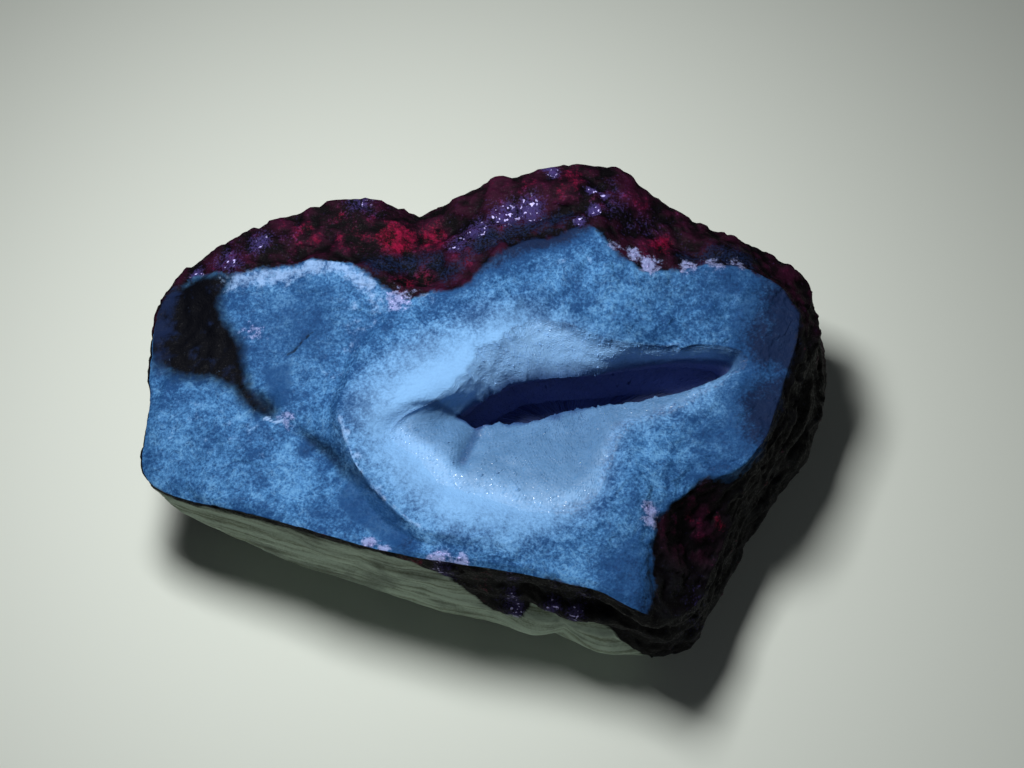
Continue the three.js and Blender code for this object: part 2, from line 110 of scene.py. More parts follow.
# The groove that parts the two facets of the western mass, darkened by painted shade in the material.
# Elsewhere the ring is plain.
GROOVE = [
    (46.5, 7, 35.6), (47.3, 12.2, 36.2), (43.5, 16, 37.1), (36, 17.3, 37.9), (24.3, 16.7, 38.3),
    (18.6, 19.2, 38.7), (13, 23, 39.4), (6, 22.3, 39.2), (-1, 20.3, 38.6), (-8, 16.7, 36.9),
    (-22, 17, 35.6), (-40, 20.5, 34.6), (-45.5, 17, 32.2), (-44.5, 8, 31.2), (-40.5, 0, 30.5),
    (-36, -4.6, 30), (-31.9, -7.8, 29.9), (-28.5, -11, 30.2), (-26.5, -16, 30.8), (-19.5, -23.5, 31.6),
    (-11.5, -27.6, 33.6), (-3, -28.6, 34.2), (4, -29.3, 34.2), (12.6, -30.6, 34), (20, -28, 33),
    (21, -21.6, 32.5), (24.2, -18.4, 32.3), (29, -14.8, 32.5), (35.4, -12, 32.9), (41, -6.5, 33.7),
    (44.7, 1, 34.8),
]
FACE_EDGE = [
    (48.5, 8, 36), (49, 13, 36.5), (45.5, 17, 37.5), (39.5, 19.5, 38), (33, 19.5, 38.5), (24, 18.5, 39),
    (19, 21, 39), (17, 24.5, 39.6), (14, 26, 40), (5.5, 24.5, 39.6), (0, 22.5, 39), (-6, 17.5, 37.2),
    (-13, 17.5, 35.6), (-24, 20.7, 36), (-36, 22.5, 35.8), (-46.5, 22, 34), (-53, 17, 30.8),
    (-54.5, 9, 30), (-55.5, 0, 30.3), (-56, -12.5, 28), (-51, -15.5, 28.8), (-36, -20, 30.5),
    (-23, -24.8, 32), (-12, -28.1, 33.9), (3, -30.3, 34.2), (14, -32.5, 33.8), (20.5, -35.5, 33),
    (22.5, -31, 32.5), (22.5, -25, 31.8), (24, -21.5, 31.8), (29.5, -17.5, 32), (34, -15.5, 32.5),
    (38.5, -13.5, 33), (42, -9.5, 33.7), (45.5, 0, 35),
]
CREST = [
    (50, 8, 34), (52, 15, 33.5), (53.5, 21, 30), (51, 23.5, 31), (46, 25.5, 33), (37.5, 28.5, 35),
    (32.5, 31, 36), (25.5, 35.5, 37), (20.5, 39, 38.5), (12.5, 39, 39), (3.5, 37.5, 38), (-2, 37, 37),
    (-10.5, 33.5, 35), (-14.5, 32.5, 34), (-20, 34.5, 35.5), (-28, 34, 36), (-39.5, 31, 34),
    (-49, 26.5, 32), (-54, 25, 31), (-59, 18, 30), (-59, 8, 29.5), (-58, -3, 28.5), (-58.5, -14, 27),
    (-52, -17, 28), (-36, -21.5, 30), (-23, -26, 32), (-12, -28.8, 33.5), (3, -31.2, 33.6), (15, -34, 33),
    (21.5, -37.5, 32), (27, -36.5, 27), (31.5, -33, 24), (35, -25, 23), (39, -17, 24), (43, -12, 26),
    (46, -6, 30), (47, 0, 33.5),
]
WAIST = [
    (57.5, 3, 11), (59.5, 14.5, 13), (57, 21, 16), (50, 26, 17), (38, 31, 18), (26, 36.5, 18),
    (15, 39.5, 18), (3, 38.5, 17), (-8, 36, 17), (-20, 35.5, 17), (-32, 33, 18), (-44, 29, 20),
    (-53, 23, 21), (-57, 14, 21), (-57, 3, 21), (-57, -8, 22), (-56, -15.5, 24), (-52, -17.5, 21),
    (-42, -20.5, 16), (-35.5, -23, 13), (-25.5, -25.5, 10.5), (-10, -30.5, 9), (3, -33, 8.5),
    (14, -35.5, 8.5), (24, -38.5, 8.5), (32, -36.5, 8.5), (38, -26.5, 8.5), (41.5, -19, 8.5),
    (46, -13.5, 9), (54, -4, 10),
]
FOOT = [
    (50, 3, 2.5), (52, 13, 2.5), (48, 21, 2.5), (36, 27, 2.5), (20, 31, 2.5), (2, 32, 2.5),
    (-16, 29.5, 2.5), (-30, 25, 3), (-40, 16, 4), (-42, 4, 4), (-38, -9, 4), (-28, -17, 3),
    (-14, -23.5, 2.5), (2, -27, 2.5), (16, -30, 2.5), (28, -31, 2.5), (35, -22, 2.5), (41, -11, 2.5),
]
BASE_SHARE = 0.86

# Swells and dents of the top as (x, y, reach, height).
TOP_FEATURES = [
    (-11, 23, 5, -2.2), (-14, 31, 4, -1.2), (-28, 28, 7, 1.5), (-43, 27, 5, 0.8), (-3, 32, 5, 0.9),
    (15, 33, 8, 1.3), (28, 27, 5, -1), (40, 24, 5, 0.7), (-33, 12, 8, 1), (-40, -12, 8, 0.8),
    (-52, 14, 5, -1.2), (31, -24, 5, -2.6), (4, 15.5, 6, -0.7), (31, 12, 6, -0.6),
]
# The sides between crest and waist: (share of the way down, millimetres out), ledge under ledge.
SIDE_LEDGES = [(0, 0), (0.14, 0.6), (0.3, -0.9), (0.4, 0.5), (0.58, -0.4), (0.68, 0.8), (0.85, 0.1), (1, 0)]
LEDGED_HEIGHT = 24
UNDERCUT_CURVE = 1.7

# Outlines of the face's colours in plan, as (x, y).
BLUE_OUTLINE = [
    (45.5, 0), (48.5, 7.5), (49.5, 12.5), (45.5, 17), (39.5, 19.5), (33, 19.5), (27.5, 18.5), (23.5, 18.5),
    (19, 20.5), (17.5, 24), (15, 26), (11, 25), (5.5, 24.5), (0.5, 22.5), (-2, 20), (-6, 16), (-9.5, 15.5),
    (-16, 14.5), (-21, 18), (-25, 21), (-31, 22), (-36, 21.5), (-40.5, 21.5), (-45.5, 20.5),
    (-52.5, 22.5), (-57.5, 19.5), (-60, 12), (-60, 3), (-60, -5.5), (-60, -14.5), (-52, -19),
    (-43.5, -21), (-36, -23), (-30, -24.5), (-23, -27), (-16.5, -28.5), (-12, -29.3), (-3.5, -31.2),
    (3, -31.7), (8.5, -32.2), (15, -34.5), (21.5, -37.5), (24, -32.5), (23.5, -25.5), (24, -22),
    (29.5, -17.5), (34, -15.5), (38, -14.5), (41.5, -11.5), (43.5, -8),
]
DARK_BAND_OUTLINE = [
    (-45.4, 20.4), (-46.8, 17.9), (-46.8, 14.2), (-44.7, 11.5), (-43.3, 8.4), (-42.4, 5.7), (-40.8, 1.5),
    (-39.4, -0.5), (-37.7, -2.2), (-36.6, -3.6), (-39.1, -3.4), (-42.5, -1), (-44.2, 1.3),
    (-48.6, 2.8), (-53.9, 3.4), (-57.7, 5.3), (-61, 12), (-61, 19.2), (-52.6, 22.3),
]
# Painted shadows of the steps: the low side below the ridge of the banded mass, and the foot of the step
# beside the groove's upper edge.
RIDGE_STEP_SHADOW_OUTLINE = [
    (-23.2, -14.1), (-19.8, -17.8), (-16.6, -21.1), (-14.3, -25.2), (-15.8, -26.8), (-19.4, -25),
    (-23.4, -21.6), (-25.6, -18.3),
]
GROOVE_STEP_SHADOW_OUTLINE = [(-38.6, 4.8), (-36, 4.4), (-34.2, 5.4), (-33.6, 1), (-34, -2.4), (-37.4, -3)]
GROOVE_LINE = [
    (-39.2, -0.5), (-36.1, -4.6), (-31.9, -7.2), (-27.7, -9.8), (-24.2, -14.3), (-19.7, -18.5),
    (-16, -23.4), (-14.3, -27.2),
]
BOWL_CREASE = [(-3.5, -3.5), (-4, -6), (-5, -9), (-6, -12)]
WEST_CRACK = [(-8, -2.7), (-12, -3.3), (-15, -3.7), (-17.5, -4)]
# A painted glint along a small arc of the face.
GLINT_ARC_LINE = [(-38, -4.3), (-37.2, -4.9), (-36.2, -5.1), (-35.2, -4.8)]
CRACK_LINE = [(-35.4, 6.2), (-34, 6.9), (-32.8, 8.2), (-31.2, 9.9)]
# Where slate blue chalcedony shows through the rind, and where it shades the blue behind the hollow.
SLATE_LINES = [
    [(-9, 19.5), (-6, 22), (-2, 24.8), (2, 26.8), (6, 27.8), (10, 28.2)],
    [(-22, 20.8), (-16.5, 22.6), (-12, 22.4)],
    [(31, 21.5), (36, 22.3), (41, 22)],
]
BACK_SHADE_LINE = [(-8, 17), (-4, 19.5), (0, 22.5), (5, 24.5), (10, 25.2), (13, 26)]
# The ridge of the banded mass's step, with a painted highlight along its edge.
RIDGE_HIGHLIGHT_LINE = [(-25.2, -5), (-24.3, -10), (-22, -15), (-18, -19.8), (-13.5, -23.5), (-11, -25)]
HALO_OUTLINE = [
    (-21.5, -3), (-19.5, 0.2), (-14.5, 4.5), (-7, 7.5), (0, 10.8), (6.6, 12.2), (16.2, 8.8), (22.6, 8.5),
    (35.6, 8), (42, 4), (37, -2.5), (31.9, -6.1), (22.2, -9.6), (19.5, -15), (17.1, -20.5),
    (13.9, -23.5), (3.2, -24.5), (-7.5, -22.9), (-13.8, -18), (-18.7, -13), (-21.3, -6.4),
]
# How far below the crest the olive skin starts along the front, as (x, millimetres).
SKIN_LINE = [
    (-60, 2), (-52, 1.4), (-16, 1.8), (-12, 4), (-7, 9), (-2.5, 16), (0.5, 19), (3, 18), (6, 13), (9, 11.5),
    (15, 13), (21, 17), (26, 26),
]
# Soft spots as (x, y, reach, strength).
RED_SPOTS = [
    (-17.8, 26.6, 4, 1.1), (-12, 27.7, 3.5, 0.8), (-27.3, 30.5, 2.5, 0.6), (-33, 29.3, 1.5, 0.7),
    (-34.1, 26.3, 4.5, 0.45), (-40.1, 25.5, 4, 0.4), (-46, 23.5, 3, 0.4), (-24, 27, 5, 0.5),
    (-22.3, 32.4, 3, 0.5), (-13.4, 20.5, 2.8, 0.8), (-16, 18.4, 2, 0.8), (3.4, 34, 4, 0.45),
    (12, 35.3, 4.5, 0.55), (16, 31, 2, 0.5), (27, 24.3, 3, 0.8), (25.4, 30.7, 4.5, 0.3), (0, 27, 1.8, 0.75),
    (-5.8, 22.2, 2.5, 0.7), (29.5, -20.5, 5, 0.35), (35, -20, 1.2, 0.7), (-13.2, -28.6, 2, 0.75),
    (-3, -32, 2, 0.5),
]
VIOLET_SPOTS = [
    (-4, 27, 3.5, 0.9), (0.5, 29.5, 3.5, 1.1), (5, 30.5, 3.5, 1.1), (-7.5, 25.5, 2.5, 0.9),
    (15.5, 33, 1.3, 1.3), (15.5, 29, 1.3, 1.4), (13, 27, 1.4, 1.2), (17.5, 32, 1, 1.2), (8.5, 37.5, 1.6, 1.3),
    (-52, 22.5, 1.8, 1.2), (-46, 23.5, 3, 0.9), (-41, 26.3, 2.5, 1), (-36, 27, 2.5, 0.4), (-24, 33.5, 3, 0.8),
    (-9, -29.6, 2.5, 0.9), (1.5, -33, 2.5, 0.8), (19, 32, 5, 0.5), (24, 28, 5, 0.4), (12, -34.5, 3, 0.5),
    (31, -33, 4, 0.4), (58, 14, 2, 1.1), (2, -32.5, 1.6, 1.3), (8, -34, 1.6, 1.1), (12, -35, 1.8, 1),
]
LILAC_SPOTS = [
    (-17, 14.5, 2.6, 1), (21.8, 21.3, 1.8, 1.1), (24.6, 19.9, 2, 1.2), (31, 19.8, 2, 0.9),
    (35, 20.2, 2, 0.9), (39.5, 20.4, 1.8, 0.8), (23.5, -20.6, 1.7, 1.3), (22.9, -22.6, 1.3, 1.2),
    (-9.5, -29.4, 2.1, 1.2), (-6.3, -30.2, 2, 1.1), (-20.2, -26.4, 1.5, 1.2), (-17.6, -27.2, 1.3, 1.2),
    (-41, 10.5, 2.4, 0.7), (-34.5, -5, 2, 0.7), (19, 22.5, 1.5, 0.8), (1.5, -36, 1, 1.1), (6, -35, 1.1, 0.9),
]
PALE_SPOTS = [
    (-24.4, 7.4, 2, 0.6), (-27, 2.5, 1.8, 0.6), (-12.5, 15, 2, 0.7), (-50, -4, 7, 0.35), (-42, -8, 7, 0.35),
    (-24.5, 13, 1, 0.9), (-21, 11, 1, 0.9), (10, 20, 0.8, 0.9), (14, 20.5, 0.8, 0.9), (-23.8, -9, 1, 0.8),
    (-21.8, -13, 1, 0.9), (-18.6, -18, 0.9, 0.8), (-20.5, 13.5, 2.5, 0.75), (-24, 10, 2, 0.7),
]
# Spots of darker blue: partly the chalcedony's own darker tone, partly painted shade where the light falls
# off at the east end and the front corner, and beside the steps and the groove.
TONE_AND_SHADE_SPOTS = [
    (47.5, 8, 9, 3), (44.5, -5, 8, 3), (47, 14, 7, 2.6), (38, 17, 6, 1), (35, -8, 7, 0.95),
    (21, -31, 7, 1.3), (23, -36, 6, 1.6), (34, -13, 5, 0.9), (14, -31, 5, 0.3), (-34, 12, 11, 0.95),
    (-32, 3, 6, 0.6), (-24, 8, 6, 0.5), (24, -22, 5, 0.9), (12, 22, 7, 0.4), (-9, 15, 5, 0.7),
    (-4, 11, 4, 0.6), (28, 16, 6, 0.5), (-3, 21, 3.5, 1.7), (1, 24, 3, 1.9),
    (5.5, 25.5, 2.5, 1.9), (10, 26.5, 2, 1.8),
    (-7, 18, 2.5, 1.5), (31, 20.5, 3, 1), (38, 20.5, 3, 1), (-48, -17.5, 2.5, 0.7), (-36, -21, 2.5, 0.6),
    (-28, -20, 4, 0.6), (-31.5, -9.5, 1.8, 1.5), (-14.5, -26.5, 2.2, 1.4), (-43, 7, 2.5, 1.1),
]


def linear(colour):
    """An sRGB colour such as #8fb3d6 as linear red, green and blue."""
    channels = np.array([int(colour[i : i + 2], 16) for i in (1, 3, 5)]) / 255
    curved = ((channels + 0.055) / 1.055) ** 2.4
    return tuple(float(c) for c in np.where(channels <= 0.04045, channels / 12.92, curved))


def colour_property(name, description, default):
    """A colour that the panel shows, given as sRGB."""
    return bpy.props.FloatVectorProperty(
        name=name, description=description, subtype="COLOR", size=3, min=0, max=1, default=linear(default)
    )


def length_property(name, description, default):
    """A length in metres, given in millimetres."""
    return bpy.props.FloatProperty(
        name=name, description=description, subtype="DISTANCE", unit="LENGTH", default=default * MM
    )


class GeodeStoneSettings(bpy.types.PropertyGroup):
    """Sizes and colours of the stone."""

    columns: bpy.props.IntProperty(
        name="Columns", description="Rays that the surface is laid on", default=560, min=96
    )
    lump_height: length_property("Lump height", "How far the rind's lumps stand out", 0.7)
    chip_height: length_property("Chip height", "How far the chips of the broken face stand out", 0.28)
    # Also laid on as painted shade: in the shade spots, the bowl's crease and the shadows of the steps.
    deep_blue: colour_property("Deep blue", "Darker grains of the chalcedony", "#1b4170")
    mid_blue: colour_property("Blue", "Chalcedony", "#467cb1")
    pale_blue: colour_property("Pale blue", "Paler clouds of the chalcedony", "#70a4d0")
    halo: colour_property("Halo", "Milky chalcedony round the hollow", "#7fafdf")
    # Also the colour of the painted shade along the groove.
    band: colour_property("Dark band", "Iron-stained band across the face", "#05060c")
    rind: colour_property("Rind", "Weathered rind", "#2d0b20")
    red: colour_property("Red", "Red patches of the rind", "#8c0e36")
    violet: colour_property("Violet", "Violet glints on the rind", "#40376f")
    lilac: colour_property("Lilac", "Pale chips at the rind's border", "#8f9bcb")
    # Also painted shade, at the east end of the face where the light falls off.
    slate: colour_property("Slate", "The darkest blue, where the chalcedony meets the rind", "#131f3c")
    # Also painted highlights: the glint along an arc and the edge of the step's ridge.
    fringe: colour_property("Fringe", "Pale fringe and chips of the broken face", "#8fb0dc")
    dark_rind: colour_property("Dark rind", "Rind without the red stain", "#15161a")
    # Painted shade: black also stands for the shade in the creases between the rind's lumps.
    black: colour_property("Creases", "Creases of the rind", "#050306")
    # Painted glints: bright specks that stand in for light off small facets.
    painted_glint: colour_property("Glints", "Small bright facets in the violet patches", "#c9c2ff")
    skin: colour_property("Skin", "Olive skin low on the sides", "#b2c4b4")
    skin_dark: colour_property("Dark skin", "Darker streaks of the skin", "#78836f")


class GeodeCrystalSettings(bpy.types.PropertyGroup):
    """Sizes and colours of the crust of crystals."""

    columns: bpy.props.IntProperty(
        name="Columns", description="Rays of crystals, a multiple of three", default=540, min=96
    )
    thickness: length_property("Thickness", "Crust between the hollow and the stone", 1.3)
    crystal_height: length_property("Crystal height", "The tallest crystals of the bowl", 0.12)
    edge_height: length_property("Large crystal height", "The few tallest crystals", 0.7)
    rim: colour_property("Rim", "Milky quartz at the lip", "#5781ac")
    # Painted light: lighter than the bowl, to make up for the wall facing away from the lamp.
    back: colour_property("Back wall", "Quartz of the steep wall behind the slit", "#82b0de")
    # Painted shade where the wall turns down into the slit.
    throat_shade_colour: colour_property("Throat", "Quartz where the wall turns down into the slit", "#26467a")
    bowl: colour_property("Bowl", "Quartz of the bowl", "#4c759f")
    # Painted light: the cavity's quartz made lighter, where little light reaches it.
    deep_painted_lighter: colour_property("Deep", "Quartz down in the cavity", "#5d70a6")


class GeodeStageSettings(bpy.types.PropertyGroup):
    """The floor, light and camera."""

    floor_size: length_property("Floor size", "Side of the square floor", 3000)
    floor_colour: colour_property("Floor", "Pale floor", "#dfe5dc")
    lamp_size: length_property("Lamp size", "Side of the main lamp", 45)
    lamp_power: bpy.props.FloatProperty(
        name="Lamp power", description="Power of the main lamp", subtype="POWER", default=0.38
    )


# Noise and shaping


def lattice_random(cells, seed):
    """A repeatable random number from 0 to 1 for each whole-numbered cell.

    The three numbers of the cell are mixed into one by multiplying and shifting its bits.
    """
    mixed = cells[..., 0] * 374761393 + cells[..., 1] * 668265263 + cells[..., 2] * 2147483647
    mixed = (mixed + seed * 1274126177) & 0xFFFFFFFF
    mixed = ((mixed ^ (mixed >> 13)) * 1274126177) & 0xFFFFFFFF
    return ((mixed ^ (mixed >> 16)) & 0xFFFFFF) / 0x1000000


def smooth_noise(places, size, seed):
    """Noise from -1 to 1: random numbers at the corners of cubes of the given size, blended smoothly."""
    scaled = places / size
    cells = np.floor(scaled).astype(np.int64)
    inside = scaled - cells
    inside = inside * inside * (3 - 2 * inside)
    total = np.zeros(places.shape[:-1])
    for corner in np.ndindex(2, 2, 2):
        step = np.array(corner)
        weight = np.prod(np.where(step == 1, inside, 1 - inside), axis=-1)
        total += weight * lattice_random(cells + step, seed)
    return 2 * total - 1


def layered_noise(places, size, seed, layers=3):
    """Noise from about -1 to 1: each layer has half the size and half the height of the one before."""
    total = sum(smooth_noise(places, size / 2**k, seed + k) / 2**k for k in range(layers))
    return total / (2 - 2 ** (1 - layers))


def chipped_noise(places, size, seed):
    """Flat chips from about -1 to 1: each place takes the tilted plane of the nearest of scattered points."""
    scaled = places / size
    cells = np.floor(scaled).astype(np.int64)
    nearest = np.full(places.shape[:-1], 9.0)
    height = np.zeros(places.shape[:-1])
    for corner in np.ndindex(3, 3, 3):
        cell = cells + np.array(corner) - 1
        jumps = [lattice_random(cell, seed + k) for k in range(3)]
        offset = scaled - cell - np.stack(jumps, axis=-1)
        distance = np.sum(offset * offset, axis=-1)
        tilt = np.stack([lattice_random(cell, seed + 3 + k) - 0.5 for k in range(3)], axis=-1)
        plane = 1.6 * np.sum(tilt * offset, axis=-1) + lattice_random(cell, seed + 6) - 0.5
        closer = distance < nearest
        height = np.where(closer, plane, height)
        nearest = np.where(closer, distance, nearest)
    return height


def round_wave(turns):
    """A sine wave."""
    return np.sin(TURN * turns)


def sharp_wave(turns):
    """A zigzag wave."""
    return 4 * np.abs(turns % 1 - 0.5) - 1


def relief(places, size, wave):
    """Relief from about -1 to 1: waves of about one size, laid in directions all round a dome."""
    total = np.zeros(places.shape[:-1])
    for k in range(WAVES):
        rise = (k + 0.5) / WAVES
        level = np.sqrt(1 - rise * rise)
        turn = GOLDEN_ANGLE * k
        direction = np.array([level * np.cos(turn), level * np.sin(turn), rise])
        total += wave(places @ direction / size * (0.75 + 0.07 * k) + 0.37 * k * k)
    return total / np.sqrt(WAVES)


def smooth_step(low, high, value):
    """0 below low, 1 above high, and a smooth rise between."""
    share = np.clip((value - low) / (high - low), 0, 1)
    return share * share * (3 - 2 * share)


def spots(places, table):
    """The strongest of the soft round spots at each place: strength times a bell curve of its distance."""
    total = np.zeros(places.shape[:-1])
    for x, y, reach, strength in table:
        squared = (places[..., 0] - x) ** 2 + (places[..., 1] - y) ** 2
        total = np.maximum(total, strength * np.exp(-squared / reach**2))
    return total


def bell(distance, reach):
    """1 at no distance, falling off to both sides as a bell curve of the given reach."""
    return np.exp(-((distance / reach) ** 2))


def max_of(fields):
    """The largest of several fields at each place."""
    return np.maximum.reduce(list(fields))


def line_distance(places, line):
    """The distance in plan from each place to the nearest of a line's straight parts."""
    nearest = np.full(places.shape[:-1], 1e9)
    for start, end in zip(line[:-1], line[1:]):
        start, span = np.array(start, float), np.subtract(end, start)
        away = places[..., :2] - start
        share = np.clip(away @ span / (span @ span), 0, 1)
        nearest = np.minimum(nearest, np.linalg.norm(away - share[..., None] * span, axis=-1))
    return nearest


def depth_inside(places, outline):
    """The distance in plan to a closed outline, positive inside it."""
    closed = outline + outline[:1]
    inside = np.zeros(places.shape[:-1], bool)
    x, y = places[..., 0], places[..., 1]
    for (ax, ay), (bx, by) in zip(closed[:-1], closed[1:]):
        if ay != by:
            crossing = ax + (y - ay) * (bx - ax) / (by - ay)
            inside ^= ((ay > y) != (by > y)) & (x < crossing)
    distance = line_distance(places, closed)
    return np.where(inside, distance, -distance)


# Rings and the surfaces between them


def make_ring(points):
    """A ring as a function of the ray's angle: the ray's crossing with the straight lines of the ring.

    The result is averaged over five angles close together, which rounds the corners a little.
    """
    table = np.array(points, float)
    away = table[:, :2] - CENTRE
    angles = np.arctan2(away[:, 1], away[:, 0]) % TURN
    order = np.argsort(angles)
    table = np.vstack([table[order], table[order[:1]]])
    angles = np.append(angles[order], angles[order[0]] + TURN)
    reaches = np.linalg.norm(table[:, :2] - CENTRE, axis=1)

    def straight(angle):
        ray = angles[0] + (angle - angles[0]) % TURN
        after = np.clip(np.searchsorted(angles, ray, side="right"), 1, len(angles) - 1)
        before = after - 1
        near = reaches[before] * np.sin(ray - angles[before])
        far = reaches[after] * np.sin(angles[after] - ray)
        share = (near / (near + far))[..., None]
        return table[before] * (1 - share) + table[after] * share

    def rounded(angle):
        return sum(straight(angle + k * CORNER_ROUNDING) for k in range(-2, 3)) / 5

    return rounded


def outwards(angle):
    """The level direction of a ray."""
    return np.stack([np.cos(angle), np.sin(angle), np.zeros_like(angle)], axis=-1)


def nearest_step(points, table):
    """The step of a ring's table that is nearest to each point, and how far off it is.

    The table is searched for a little way on both sides of the point's own ray.
    """
    away = points[..., :2] - CENTRE
    own = np.round(np.arctan2(away[..., 1], away[..., 0]) / TURN * RING_STEPS).astype(int)
    nearest = np.full(own.shape, 1e9)
    best = own
    for jump in range(-SEARCH_STEPS, SEARCH_STEPS + 1):
        index = (own + jump) % RING_STEPS
        squared = np.sum((points - table[index]) ** 2, axis=-1)
        best = np.where(squared < nearest, index, best)
        nearest = np.minimum(nearest, squared)
    return best, np.sqrt(nearest)


def toothed(points, ring, height, size, seed):
    """Points near a ring moved to and fro across it, as a broken edge runs.

    The push at a place of the ring is chipped noise of two sizes, averaged over half a millimetre so that
    no row crosses the next. It is as high as the given function of the place, and dies away over twice a
    tooth's length.
    """
    table = ring(np.arange(RING_STEPS) * TURN / RING_STEPS)
    course = np.roll(table, -2, axis=0) - np.roll(table, 2, axis=0)
    across = np.stack([course[:, 1], -course[:, 0], np.zeros(RING_STEPS)], axis=-1)
    across /= np.linalg.norm(across, axis=-1, keepdims=True)
    push = 0.9 * chipped_noise(table, size, seed) + 0.45 * chipped_noise(table, size * 0.5, seed + 9)
    push = np.mean([np.roll(push, step) for step in range(-TOOTH_BLUR, TOOTH_BLUR + 1)], axis=0)
    push *= height(table)
    step, distance = nearest_step(points, table)
    reach = push[step] * bell(distance, 1.2 * size)
    return points + reach[..., None] * across[step]


def spread_angles(rings):
    """Angles for fractional columns, whose equal steps go equally far along the rings together."""
    turn = np.linspace(0, TURN, SPREAD_STEPS + 1)
    moved = sum(np.linalg.norm(np.diff(ring(turn), axis=0), axis=1) for ring in rings)
    travelled = np.insert(np.cumsum(moved), 0, 0)

    def angle_at(turns):
        whole = np.floor(turns)
        return TURN * whole + np.interp((turns - whole) * travelled[-1], travelled, turn)

    return angle_at


def even_rows(stations, rows):
    """Points at even steps along the straight lines through the stations, each column for itself."""
    path = np.stack(stations)
    steps = np.linalg.norm(np.diff(path, axis=0), axis=2)
    travelled = np.concatenate([np.zeros_like(steps[:1]), np.cumsum(steps, axis=0)])
    wanted = travelled[-1] * np.linspace(0, 1, rows, endpoint=False)[:, None]
    part = sum(wanted >= travelled[k] for k in range(1, len(stations) - 1)) + 0 * wanted.astype(int)
    column = np.arange(path.shape[1])[None, :]
    share = (wanted - travelled[part, column]) / np.maximum(steps[part, column], 1e-9)
    share = share[..., None]
    points = path[part, column] * (1 - share) + path[part + 1, column] * share
    return points, part + share[..., 0]


def surface_normals(grid):
    """Unit normals of a grid whose rows run round it: across the steps to the neighbouring points."""
    along = np.roll(grid, -1, axis=1) - np.roll(grid, 1, axis=1)
    down = np.gradient(grid, axis=0)
    normal = np.cross(down, along)
    return normal / np.maximum(np.linalg.norm(normal, axis=-1, keepdims=True), 1e-9)


def closed_faces(rows, columns):
    """Triangles of a closed surface: a first pole, rows of points round it, and a last pole."""
    grid = 1 + np.arange(rows * columns).reshape(rows, columns)
    beside = np.roll(grid, -1, axis=1)
    a, b = grid[:-1].ravel(), grid[1:].ravel()
    c, d = beside[1:].ravel(), beside[:-1].ravel()
    first = np.column_stack([np.zeros(columns, int), grid[0], beside[0]])
    last = np.column_stack([grid[-1], np.full(columns, 1 + rows * columns), beside[-1]])
    return np.vstack([first, np.column_stack([a, b, c]), np.column_stack([a, c, d]), last])


def face_rows(rows, columns):
    """The row that each of the closed surface's triangles starts from."""
    between = np.repeat(np.arange(rows - 1), columns)
    return np.concatenate([np.full(columns, -1), between, between, np.full(columns, rows - 1)])


def make_piece(name, points, faces, material, values, smooth):
    """A mesh object from points in millimetres, with one float attribute for each named list of values."""
    mesh = bpy.data.meshes.new(name)
    mesh.from_pydata((points * MM).tolist(), [], faces.tolist())
    for label, numbers in values.items():
        attribute = mesh.attributes.new(label, "FLOAT", "POINT")
        attribute.data.foreach_set("value", np.asarray(numbers, np.float32).ravel())
    mesh.polygons.foreach_set("use_smooth", smooth)
    mesh.materials.append(material)
    mesh.validate()
    mesh.update()
    piece = bpy.data.objects.new(name, mesh)
    bpy.context.scene.collection.objects.link(piece)
    return piece


# The hollow's wall


def rolled_behind(place):
    """1 where the lip behind the slit's middle rolls over without an edge."""
    x, y = place[..., 0], place[..., 1]
    return smooth_step(0, 5, x) * smooth_step(30, 25, x) * smooth_step(2, 6, y)


def slit_axis(x):
    """The middle line of the slit, which slants a little along the stone."""
    return CENTRE[1] + 0.185 * (x - CENTRE[0])


def lip_teeth(place):
    """The teeth of the lip are long where its edge is torn: behind the hollow, to the west and the east."""
    x, y = place[..., 0], place[..., 1]
    torn = smooth_step(-5, -1, y) * (1 - rolled_behind(place))
    tips = smooth_step(-18, -12, x) * (1 - 0.6 * smooth_step(32, 38, x))
    return 0.12 + (0.1 + 1.05 * torn) * tips


def slit_teeth(place):
    """The teeth of the slit's edges are longest to the west, and small behind."""
    west = smooth_step(6, 0, place[..., 0])
    in_front = smooth_step(0.5, -0.5, place[..., 1] - slit_axis(place[..., 0]))
    return 0.12 + 0.7 * west + 0.3 * in_front * (1 - west)


LIP_ROLL = 0.9  # how far the lip is lowered where it rolls over
STONE_WALL = 0.9  # how far the stone's hollow lies behind the crust's face
RIM_WALL = 0.03  # the same at the lip, where only the crust's edge shows

lip = make_ring(LIP)
slit = make_ring(SLIT)
band_edge = make_ring(BAND_EDGE)
band_foot = make_ring(BAND_FOOT)
groove = make_ring(GROOVE)
face_edge = make_ring(FACE_EDGE)
crest = make_ring(CREST)
waist = make_ring(WAIST)
foot = make_ring(FOOT)
WALL_RINGS = [lip, slit, make_ring(CAVITY), make_ring(FLOOR)]
angle_at = spread_angles([lip, slit, face_edge, crest])


def wall_point(angle, depth):
    """The hollow's wall. Depth 0 is the lip, 1 the slit, 2 the widest part of the cavity, 3 the floor."""
    rings = np.stack([ring(angle) for ring in WALL_RINGS])
    upper = np.clip(np.floor(depth).astype(int), 0, len(WALL_RINGS) - 2)
    share = (depth - upper)[..., None]
    index = np.indices(angle.shape)
    return rings[(upper, *index)] * (1 - share) + rings[(upper + 1, *index)] * share


